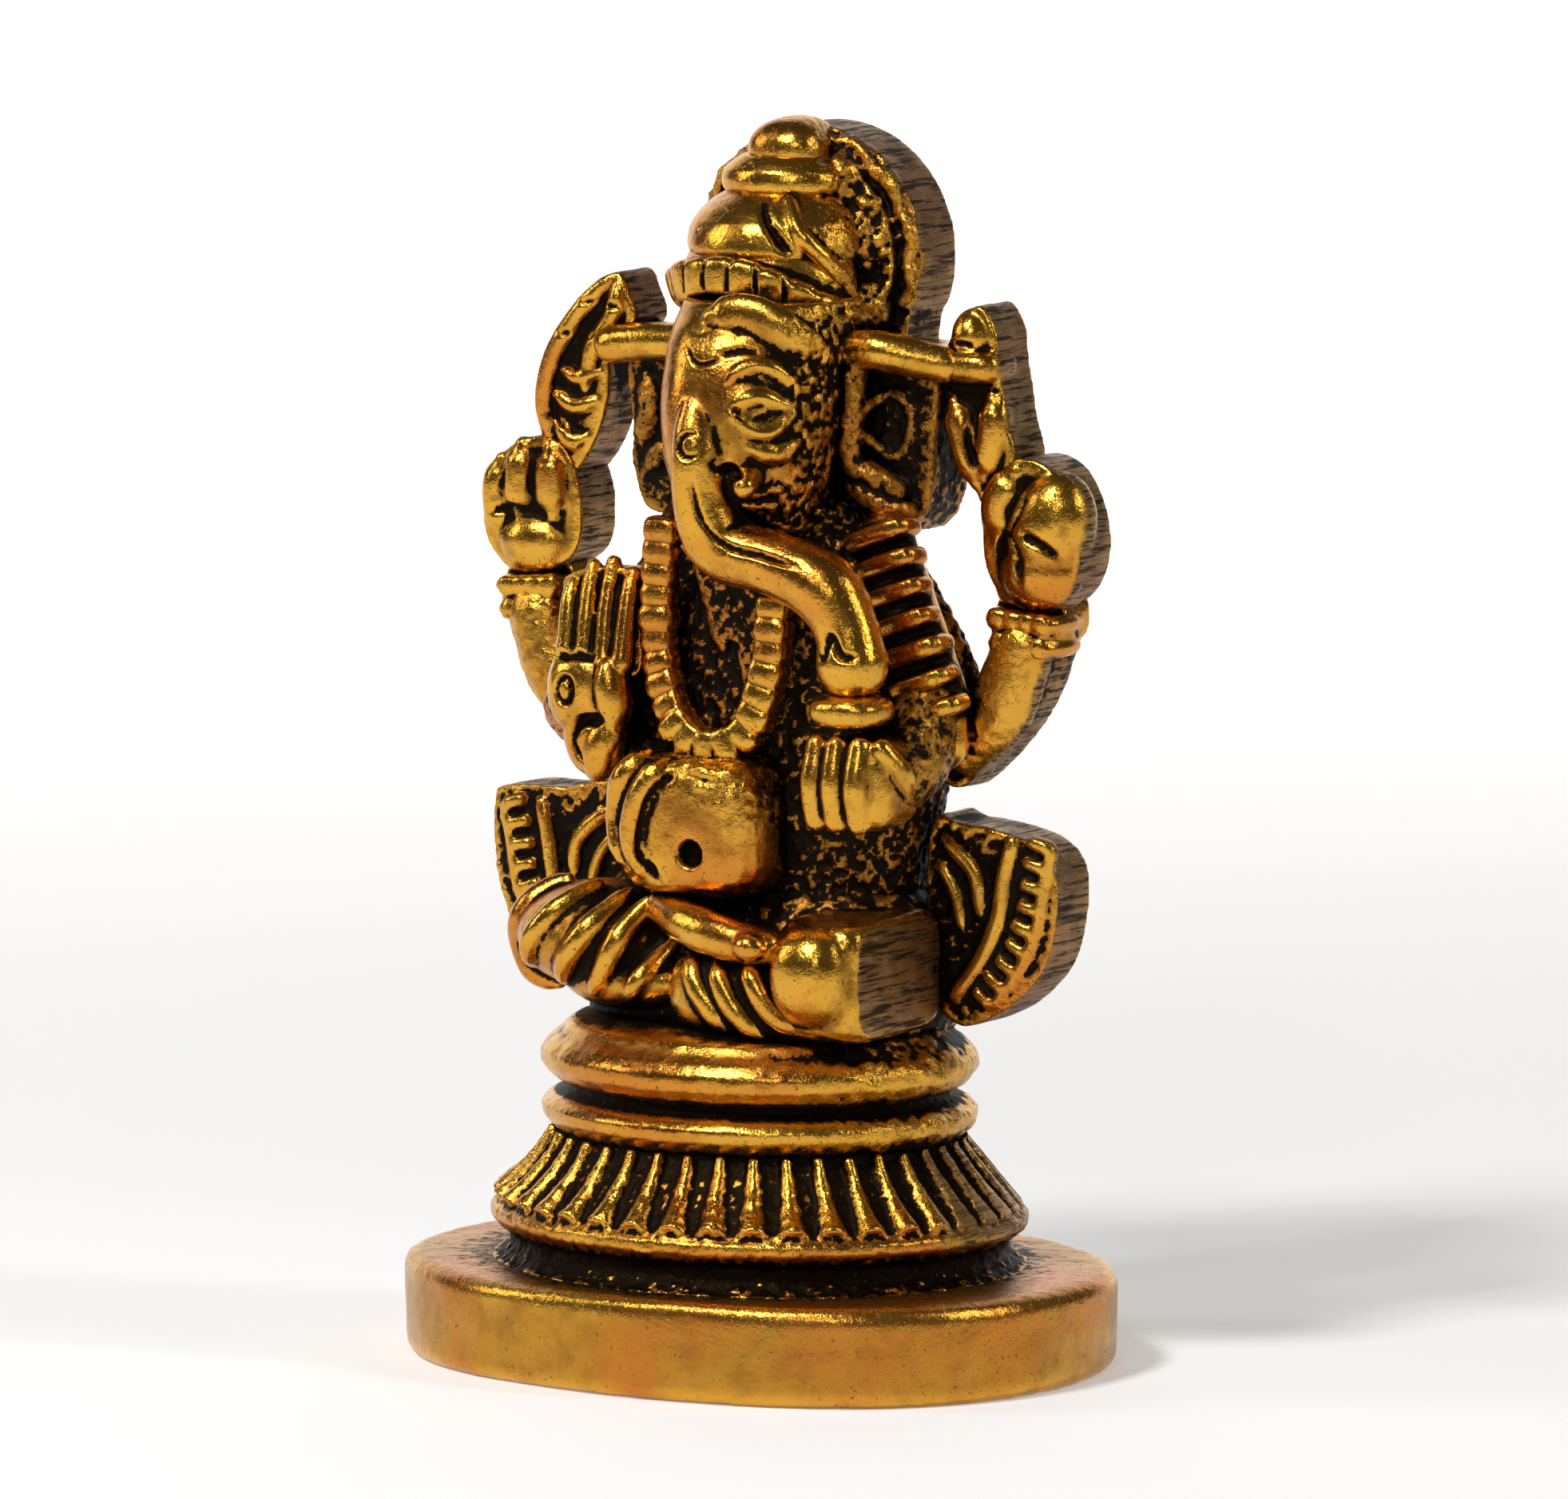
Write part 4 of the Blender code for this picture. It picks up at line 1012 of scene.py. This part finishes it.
def shape_open_palm():
    """Raised open hand and its arm."""
    palm = Form().ball((-8.7, -5.2, 41.0), (2.8, 2.3, 3.0), power=2.3)
    palm.ball((-8.3, -5.2, 38.6), (2.2, 2.1, 3.0))
    palm.plate([(-10.9, 42.0), (-10.9, 46.6), (-10.2, 48.0), (-6.0, 48.4), (-5.4, 46.0),
                (-5.6, 42.0)], -5.2, -3.0)
    for x, top in ((-10.0, 47.4), (-8.7, 48.5), (-7.3, 48.8), (-5.9, 48.2)):
        palm.rod([(x, -4.9, top, 0.5), (x, -5.6, 46.6, 0.56), (x * 0.99, -6.4, 42.8, 0.62)])
    palm.ball((-6.4, -6.4, 41.0), (1.1, 1.3, 2.4), (0, -8, 0))
    palm.ball((-7.2, -6.2, 37.6), (1.3, 1.3, 2.2), (0, 20, 0))
    skin = palm.fuse("left_open_palm", 0.85, 2)
    skin.granulate(0.05, 0.4, 55, ease(skin.co[:, 1], -6.0, -5.4) * ease(skin.co[:, 2], 42, 43))
    skin.line([(-10.8, 43.0), (-8.8, 43.3), (-7.4, 43.2)], 0.45, 0.45)
    skin.ring((-9.4, 41.1), (0.6, 0.8), 0.3, 0.4)
    skin.line([(-6.9, 39.4), (-8.2, 39.2), (-9.0, 38.0), (-8.3, 36.2)], 0.5, 0.65)
    skin.keep()
    arm = Form().rod([(-11.2, -1.2, 41.2, 2.2), (-10.8, -3.4, 39.6, 2.2), (-9.0, -4.6, 39.6, 2.0)])
    skin = arm.fuse("left_front_arm", 1.1, 3)
    skin.granulate(0.08, 0.6, 51).keep("recess_brass")


def shape_sweet_hand():
    """Hand on the thigh, its arm and the sweet."""
    hand = Form().ball((10.5, -4.9, 36.6), (2.9, 2.7, 2.8), power=4.0)
    for x in (8.5, 9.9, 11.5):
        hand.rod([(x, -7.0, 39.0, 0.7), (x, -7.5, 36.6, 0.78), (x, -7.1, 34.4, 0.7)])
    hand.rod([(12.6, -6.4, 38.8, 0.8), (13.2, -5.4, 37.4, 0.9), (13.0, -4.2, 36.2, 0.8)])
    hand.fuse("right_front_hand", 0.85, 2).keep()
    arm = Form().rod([(12.0, -0.4, 40.6, 2.1), (12.3, -2.0, 37.8, 2.3), (11.6, -4.0, 36.6, 2.3)])
    skin = arm.fuse("right_front_arm", 1.1, 3)
    skin.granulate(0.08, 0.6, 53).keep("recess_brass")
    sweet = Form().ball((10.2, -5.8, 41.0), (2.4, 2.3, 1.1), power=2.8)
    sweet.fuse("sweet", 0.9, 2).keep()


def shape_shawl():
    """Ribbed cloth over the right shoulder."""
    shawl = Form().rod([(8.6, 0.8, 51.0, 1.6), (9.6, 0.6, 47.6, 2.0), (10.8, 0.6, 44.2, 2.2),
                        (12.0, 0.8, 41.0, 2.1), (12.6, 0.6, 38.6, 1.8)])
    shawl.take(bead_row([(8.9, -0.2, 51.0), (10.2, -0.6, 47.6), (11.5, -0.8, 44.2),
                         (12.8, -0.6, 40.6)], 7, (2.4, 1.5, 0.68)))
    shawl.fuse("shoulder_shawl", 0.9, 1).keep()


# ---------------------------------------------------------------- ageing the brass and painting its shade

def solid_grid(step=0.3):
    """How full of metal the space is round each point, on a grid in millimetres."""
    low = np.array([-24.0, -20.0, -2.0])
    size = np.ceil(np.array([48.0, 40.0, 79.0]) / step).astype(int)
    full = np.zeros(size, bool)
    for skin in SKINS.values():
        tree = BVHTree.FromPolygons(skin.co.tolist(), skin.quads.tolist())
        first = np.floor((skin.co.min(0) - low) / step).astype(int)
        last = np.ceil((skin.co.max(0) - low) / step).astype(int)
        for i in range(first[0], last[0] + 1):
            for k in range(first[2], last[2] + 1):
                start = Vector((low[0] + (i + 0.5) * step, low[1], low[2] + (k + 0.5) * step))
                inside = None
                for _ in range(24):
                    spot, normal, _, _ = tree.ray_cast(start, Vector((0, 1, 0)))
                    if spot is None:
                        break
                    if normal.y < 0 and inside is None:
                        inside = spot.y
                    elif normal.y > 0 and inside is not None:
                        a = int((inside - low[1]) / step + 0.5)
                        b = int((spot.y - low[1]) / step + 0.5)
                        full[i, a:b, k] = True
                        inside = None
                    start = spot + Vector((0, 1e-4, 0))
    return full.astype(np.float32), low, step


def blur(grid, reach):
    """Box blur, done twice along each axis."""
    for _ in range(2):
        for axis in range(3):
            pad = [(0, 0)] * 3
            pad[axis] = (reach + 1, reach)
            total = np.cumsum(np.pad(grid, pad), axis=axis)
            count = grid.shape[axis]
            high = np.take(total, np.arange(2 * reach + 1, 2 * reach + 1 + count), axis)
            below = np.take(total, np.arange(count), axis)
            grid = (high - below) / (2 * reach + 1)
    return grid


def sample(grid, low, step, points):
    """Trilinear value of the grid at the points."""
    where = np.clip((points - low) / step - 0.5, 0, np.array(grid.shape) - 1.001)
    cell = where.astype(int)
    part = where - cell
    return sum(grid[tuple((cell + corner).T)] * weight for corner, weight in corners(part))


# Metal close round a point keeps it from being rubbed and would cast shade on it: the fuller the
# space, the darker, partly patina kept in crevices and partly painted shade. Columns: blur in grid
# cells, height above the skin in millimetres, how full the space is over an open face, and how
# strongly more than that darkens the point.
SHELTER_AND_SHADE = ((1, 0.25, 0.22, 2.0), (4, 0.9, 0.25, 2.6), (9, 2.2, 0.3, 2.6))
FINE, BROAD = 0.32, 0.75                # reach of the two sizes of hollow, in millimetres


def age_and_shade_brass():
    """Works out where patina stays, where shade is painted and where the brass is rubbed, and finishes
    each piece.
    """
    full, low, step = solid_grid()
    shelter_and_shade = [(blur(full, reach), *rest) for reach, *rest in SHELTER_AND_SHADE]
    for skin in SKINS.values():
        normal = skin.normals()
        fine, broad = skin.hollows(FINE), skin.hollows(BROAD)
        level = 14 * fine + 8 * broad + 0.9 * skin.cut + 0.2 * skin.rough
        # Painted shade: the fuller the metal round a point, the darker it gets, beside patina in
        # crevices.
        for metal, height, open_face, weight in shelter_and_shade:
            fullness = sample(metal, low, step, skin.co + normal * height)
            level += weight * (fullness - open_face)
        finish_piece(skin, ease(level, 0.0, 1.0), broad + 1.5 * fine)
    SKINS.clear()


def finish_piece(skin, dark, hollow):
    """Writes the shape and the wear into the mesh and hands the piece to the frame."""
    mesh = skin.mesh
    mesh.vertices.foreach_set("co", (skin.co * MM).ravel())
    mesh.update()
    for label, values in (("patina_and_shade", dark), ("filed", skin.filed), ("rough", skin.rough),
                          ("worn", ease(-hollow, 0.01, 0.14))):
        layer = mesh.attributes.new(label, "FLOAT", "POINT")
        layer.data.foreach_set("value", values.astype(np.float32))
    mesh.shade_smooth()
    mesh.materials.clear()
    mesh.materials.append(brass_material(skin.slot))
    piece = bpy.data.objects.new("cast_" + skin.name, mesh)
    bpy.context.scene.collection.objects.link(piece)
    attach(piece, "root")
    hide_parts(*skin.nodes)


# ---------------------------------------------------------------- materials

class Nodes:
    """Short way to add and join shader nodes."""

    def __init__(self, tree):
        self.tree = tree

    def add(self, kind, settings=None, **inputs):
        node = self.tree.nodes.new(kind)
        for key, value in (settings or {}).items():
            setattr(node, key, value)
        for key, value in inputs.items():
            socket = node.inputs[int(key[1:])] if key[0] == "i" and key[1:].isdigit() \
                else node.inputs[key.replace("_", " ")]
            if isinstance(value, bpy.types.NodeSocket):
                self.tree.links.new(value, socket)
            else:
                socket.default_value = value
        return node

    def mix(self, factor, a, b, blend="MIX"):
        node = self.add("ShaderNodeMix", {"data_type": "RGBA", "blend_type": blend})
        for index, value in ((0, factor), (6, a), (7, b)):
            if isinstance(value, bpy.types.NodeSocket):
                self.tree.links.new(value, node.inputs[index])
            else:
                node.inputs[index].default_value = value
        return node.outputs[2]

    def math(self, operation, a, b=0.0, clamp=False):
        return self.add("ShaderNodeMath", {"operation": operation, "use_clamp": clamp},
                        i0=a, i1=b).outputs[0]

    def range(self, value, low, high, to_low=0.0, to_high=1.0):
        return self.add("ShaderNodeMapRange", {"interpolation_type": "SMOOTHSTEP"}, Value=value,
                        From_Min=low, From_Max=high, To_Min=to_low, To_Max=to_high).outputs[0]

    def noise(self, vector, scale, detail=3.0, rough=0.55):
        return self.add("ShaderNodeTexNoise", None, Vector=vector, Scale=scale, Detail=detail,
                        Roughness=rough).outputs[0]


# Each slot's patina everywhere, how much rubbing clears, dullness, metal share and colour clouds.
SLOTS = {"polished_brass": (0.0, 0.5, 0.0, 1.0, 0.95),
         "filed_brass": (0.05, 0.5, 0.15, 0.95, 0.85),
         # The recess slot's strong dark bias is partly patina and partly painted shade, for pieces
         # that stand behind others.
         "recess_brass": (0.68, 0.46, 0.3, 0.95, 0.85),
         "slab_brass": (-0.42, 0.5, 0.5, 0.95, 0.35)}


def brass_material(slot):
    """Aged brass with painted shade, made once for each slot."""
    old = bpy.data.materials.get("aged_and_shaded_" + slot)
    if old:
        return old
    finish = bpy.context.scene.figure_finish
    material = bpy.data.materials.new("aged_and_shaded_" + slot)
    material.use_nodes = True
    tree = material.node_tree
    tree.nodes.clear()
    n = Nodes(tree)
    place = n.add("ShaderNodeTexCoord").outputs["Object"]
    patina_and_shade, filed, rough, worn = (
        n.add("ShaderNodeAttribute", {"attribute_name": label}).outputs["Fac"]
        for label in ("patina_and_shade", "filed", "rough", "worn"))

    bias, rubbed, dull, shine, cloud = SLOTS[slot]
    patina_and_shade = n.math("ADD", patina_and_shade, bias)
    patina_and_shade = n.math("SUBTRACT", patina_and_shade, n.math("MULTIPLY", worn, rubbed))

    # From slow drifts of colour, 9 mm long, down to the grain of the casting, 0.1 mm.
    drift = n.noise(place, 110.0, 3.0, 0.5)
    blotch = n.noise(place, 420.0, 4.0, 0.6)
    speck = n.noise(place, 3200.0, 3.0, 0.75)
    fine = n.noise(place, 7500.0, 2.0, 0.6)

    # File strokes run front to back on the walls: stretched noise, close-set in X and Z.
    stretch = n.add("ShaderNodeMapping", None, Vector=place, Scale=(1.0, 0.07, 1.0)).outputs[0]
    stroke = n.noise(stretch, 3400.0, 4.0, 0.7)
    wall_dark = n.math("MULTIPLY", n.math("MULTIPLY", n.range(stroke, 0.47, 0.60), filed), 0.9)

    # Black where patina stays and where shade is painted, in casting pits and in the file strokes.
    pits = n.range(speck, 0.625, 0.71)
    edge = n.math("ADD", patina_and_shade, n.math("MULTIPLY", n.math("SUBTRACT", speck, 0.5), 2.4))
    edge = n.math("ADD", edge, n.math("MULTIPLY", n.math("SUBTRACT", blotch, 0.5), 0.5))
    black = n.range(edge, 0.22, 0.66)
    black = n.math("MAXIMUM", black, n.math("MULTIPLY", pits, 0.75))
    black = n.math("MAXIMUM", black, wall_dark, clamp=True)
    # Gold on rubbed metal, browner towards the patina and the painted shade, with clouds of copper.
    tone = n.math("ADD", n.range(patina_and_shade, -0.15, 0.4), n.range(blotch, 0.38, 0.72, 0.0, cloud))
    tone = n.math("ADD", tone, dull)
    tone = n.math("SUBTRACT", tone, n.math("MULTIPLY", worn, 0.45), clamp=True)

    gold = n.mix(tone, finish.polished, finish.warm)
    gold = n.mix(n.math("MULTIPLY", n.range(drift, 0.44, 0.66), 0.8), gold, finish.copper)
    gold = n.mix(n.math("MULTIPLY", filed, 0.7), gold, finish.wall)
    colour = n.mix(black, gold, finish.patina_and_shade)

    gloss = n.math("ADD", 0.2, n.math("MULTIPLY", tone, 0.14))
    gloss = n.math("ADD", gloss, n.math("MULTIPLY", n.math("SUBTRACT", fine, 0.5), 0.16))
    gloss = n.math("ADD", gloss, n.math("MULTIPLY", filed, 0.16))
    gloss = n.math("ADD", gloss, n.math("MULTIPLY", black, 0.2), clamp=True)

    height = n.math("MULTIPLY", blotch, 1.2)
    height = n.math("SUBTRACT", height, n.math("MULTIPLY", pits, 1.0))
    height = n.math("ADD", height, n.math("MULTIPLY", speck, n.math("ADD", 0.55, rough)))
    height = n.math("ADD", height, n.math("MULTIPLY", fine, 0.15))
    height = n.math("SUBTRACT", height, n.math("MULTIPLY", wall_dark, 1.2))
    bump = n.add("ShaderNodeBump", None, Strength=0.5, Distance=0.00011, Height=height)

    shader = n.add("ShaderNodeBsdfPrincipled", None, Base_Color=colour, Roughness=gloss,
                   Metallic=shine, Normal=bump.outputs[0])
    n.add("ShaderNodeOutputMaterial", None, Surface=shader.outputs[0])
    return material


# ---------------------------------------------------------------- stage

AZIMUTH = math.radians(32)              # camera, round from the front towards +X
ELEVATION = math.radians(7.5)
CAMERA_AWAY = 0.9                       # metres from the middle of the figure
LENS = 340.0
LIGHTS = (                  # name, azimuth, elevation, distance, size in metres, watts
    ("key_softbox", -12, 50, 0.60, (0.12, 0.12), 2.3),
    ("front_window", 22, 28, 0.70, (0.08, 0.10), 0.42),
    ("side_strip", 100, 30, 0.55, (0.06, 0.24), 0.6),
    ("left_strip", -62, 25, 0.55, (0.06, 0.24), 0.45))
LIT_POINT = Vector((0, 0, 0.04))        # where every light looks
SWEEP_HALF, SWEEP_DEPTH, SWEEP_TURN, SWEEP_TOP = 1.6, 1.3, 0.35, 1.4    # metres


def away_from_figure(azimuth, elevation):
    """Unit vector from the figure towards a camera or light; angles in radians."""
    return Vector((math.sin(azimuth) * math.cos(elevation),
                   -math.cos(azimuth) * math.cos(elevation), math.sin(elevation)))


def build_camera():
    back = away_from_figure(AZIMUTH, ELEVATION)
    right = Vector((math.cos(AZIMUTH), math.sin(AZIMUTH), 0))
    up = back.cross(right)
    aim = Vector((0, 0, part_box("halo")[1].z / 2)) + right * 0.0015 - up * 0.0002
    data = bpy.data.cameras.new("studio_camera")
    data.sensor_width = 36.0
    data.lens = LENS
    data.clip_start = 0.01
    data.clip_end = 10.0
    camera = bpy.data.objects.new("studio_camera", data)
    camera.matrix_world = Matrix.LocRotScale(
        aim + back * CAMERA_AWAY, Matrix((right, up, back)).transposed(), None)
    bpy.context.scene.collection.objects.link(camera)
    bpy.context.scene.camera = camera


def build_floor():
    """Pale sweep: a flat floor that curves up far behind the figure."""
    form = bmesh.new()
    profile = [(-SWEEP_HALF, 0.0), (SWEEP_DEPTH, 0.0)]
    profile += [(SWEEP_DEPTH + SWEEP_TURN * math.sin(a), SWEEP_TURN * (1 - math.cos(a)))
                for a in np.linspace(0.1, math.pi / 2, 16)]
    profile.append((SWEEP_DEPTH + SWEEP_TURN, SWEEP_TOP))
    right = Vector((math.cos(AZIMUTH), math.sin(AZIMUTH), 0)) * SWEEP_HALF
    ahead = Vector((-math.sin(AZIMUTH), math.cos(AZIMUTH), 0))
    rows = []
    for along, height in profile:
        base = ahead * along + Vector((0, 0, height))
        rows.append([form.verts.new(base - right), form.verts.new(base + right)])
    for low, high in zip(rows, rows[1:]):
        form.faces.new((low[0], low[1], high[1], high[0]))
    mesh = bpy.data.meshes.new("studio_sweep")
    form.to_mesh(mesh)
    form.free()
    mesh.shade_smooth()
    sweep = bpy.data.objects.new("studio_sweep", mesh)
    material = bpy.data.materials.new("pale_sweep")
    material.use_nodes = True
    shader = material.node_tree.nodes["Principled BSDF"]
    shader.inputs["Base Color"].default_value = (0.86, 0.86, 0.86, 1)
    shader.inputs["Roughness"].default_value = 0.9
    # Painted light: the sweep glows, more strongly further back (0.26 near, 0.85 far), which keeps the
    # backdrop white.
    shader.inputs["Emission Color"].default_value = (1.0, 0.99, 0.97, 1)
    n = Nodes(material.node_tree)
    place = n.add("ShaderNodeTexCoord").outputs["Object"]
    far = n.add("ShaderNodeVectorMath", {"operation": "DOT_PRODUCT"}, i0=place, i1=ahead)
    glow = n.range(far.outputs["Value"], 0.05, 0.5, 0.26, 0.85)
    material.node_tree.links.new(glow, shader.inputs["Emission Strength"])
    mesh.materials.append(material)
    bpy.context.scene.collection.objects.link(sweep)


def build_lights():
    for name, azimuth, elevation, distance, size, power in LIGHTS:
        data = bpy.data.lights.new(name, "AREA")
        data.shape = "RECTANGLE"
        data.size, data.size_y = size
        data.energy = power
        lamp = bpy.data.objects.new(name, data)
        away = away_from_figure(math.radians(azimuth), math.radians(elevation))
        lamp.location = LIT_POINT + away * distance
        lamp.rotation_euler = away.to_track_quat("Z", "Y").to_euler()
        bpy.context.scene.collection.objects.link(lamp)
    world = bpy.data.worlds.new("studio_air")
    world.use_nodes = True
    world.node_tree.nodes["Background"].inputs[0].default_value = (0.32, 0.30, 0.28, 1)
    world.node_tree.nodes["Background"].inputs[1].default_value = 0.2
    bpy.context.scene.world = world
    bpy.context.scene.view_settings.view_transform = "Standard"
    bpy.context.scene.view_settings.look = "None"


# ---------------------------------------------------------------- operators

class FIGURE_OT_stage(bpy.types.Operator):
    """Camera, pale sweep and soft lights"""

    bl_idname = "figure.stage"
    bl_label = "Stage"

    def execute(self, context):
        build_camera()
        build_floor()
        build_lights()
        return {"FINISHED"}


class FIGURE_OT_pedestal(bpy.types.Operator):
    """Slab, ribbed skirt and the two rings"""

    bl_idname = "figure.pedestal"
    bl_label = "Pedestal"

    def execute(self, context):
        shape_slab()
        shape_skirt()
        shape_rings()
        return {"FINISHED"}


class FIGURE_OT_legs(bpy.types.Operator):
    """Seat, folded legs, foot and pleated cloth"""

    bl_idname = "figure.legs"
    bl_label = "Legs"

    def execute(self, context):
        shape_seat()
        shape_left_leg()
        shape_right_leg()
        shape_foot()
        shape_pleats()
        return {"FINISHED"}


class FIGURE_OT_bolsters(bpy.types.Operator):
    """Cushion ends beside the hips"""

    bl_idname = "figure.bolsters"
    bl_label = "Bolsters"

    def execute(self, context):
        shape_bolsters()
        return {"FINISHED"}


class FIGURE_OT_torso(bpy.types.Operator):
    """Body and belly"""

    bl_idname = "figure.torso"
    bl_label = "Torso"

    def execute(self, context):
        shape_torso()
        shape_belly()
        return {"FINISHED"}


class FIGURE_OT_raised_arms(bpy.types.Operator):
    """Rear arms, bangles, fists, axe and goad"""

    bl_idname = "figure.raised_arms"
    bl_label = "Raised arms"

    def execute(self, context):
        shape_arms_and_bangles()
        shape_right_fist()
        shape_left_fist()
        shape_goad()
        shape_axe()
        return {"FINISHED"}


class FIGURE_OT_head(bpy.types.Operator):
    """Elephant head with trunk and tusk"""

    bl_idname = "figure.head"
    bl_label = "Head"

    def execute(self, context):
        shape_head()
        return {"FINISHED"}


class FIGURE_OT_ears(bpy.types.Operator):
    """Ears and the bars beside them"""

    bl_idname = "figure.ears"
    bl_label = "Ears"

    def execute(self, context):
        shape_ears()
        shape_link_bars()
        return {"FINISHED"}


class FIGURE_OT_crown(bpy.types.Operator):
    """Four tiers of the crown"""

    bl_idname = "figure.crown"
    bl_label = "Crown"

    def execute(self, context):
        shape_crown_band()
        shape_dome()
        shape_ring_and_finial()
        return {"FINISHED"}


class FIGURE_OT_halo(bpy.types.Operator):
    """Scalloped halo on its stem"""

    bl_idname = "figure.halo"
    bl_label = "Halo"

    def execute(self, context):
        shape_halo()
        return {"FINISHED"}


class FIGURE_OT_front(bpy.types.Operator):
    """Garland, hands, sweet and shawl"""

    bl_idname = "figure.front"
    bl_label = "Front"

    def execute(self, context):
        shape_garland()
        shape_open_palm()
        shape_sweet_hand()
        shape_shawl()
        return {"FINISHED"}


class FIGURE_OT_age_and_shade(bpy.types.Operator):
    """Patina with painted shade, rubbed metal and file marks; finishes every piece"""

    bl_idname = "figure.age"
    bl_label = "Age the brass"

    def execute(self, context):
        age_and_shade_brass()
        return {"FINISHED"}


OPERATORS = [FIGURE_OT_stage, FIGURE_OT_pedestal, FIGURE_OT_legs,
             FIGURE_OT_bolsters, FIGURE_OT_torso, FIGURE_OT_raised_arms,
             FIGURE_OT_head, FIGURE_OT_ears, FIGURE_OT_crown,
             FIGURE_OT_halo, FIGURE_OT_front, FIGURE_OT_age_and_shade]


class FIGURE_PT_panel(bpy.types.Panel):
    """Sidebar list of the steps and settings."""

    bl_label = "Brass Figure"
    bl_idname = "FIGURE_PT_panel"
    bl_space_type = "VIEW_3D"
    bl_region_type = "UI"
    bl_category = "Brass Figure"

    def draw(self, context):
        for group in (context.scene.figure_sizes, context.scene.figure_finish):
            for key in group.bl_rna.properties.keys():
                if key not in ("rna_type", "name"):
                    self.layout.prop(group, key)
        for step in OPERATORS:
            self.layout.operator(step.bl_idname)


CLASSES = [FigureSizes, FigureFinish, *OPERATORS, FIGURE_PT_panel]


def register():
    for item in CLASSES:
        bpy.utils.register_class(item)
    bpy.types.Scene.figure_sizes = PointerProperty(type=FigureSizes)
    bpy.types.Scene.figure_finish = PointerProperty(type=FigureFinish)


def unregister():
    del bpy.types.Scene.figure_finish
    del bpy.types.Scene.figure_sizes
    for item in reversed(CLASSES):
        bpy.utils.unregister_class(item)


def main():
    register()
    for step in OPERATORS:
        getattr(bpy.ops.figure, step.bl_idname.split(".")[1])()


if __name__ == "__main__":
    main()
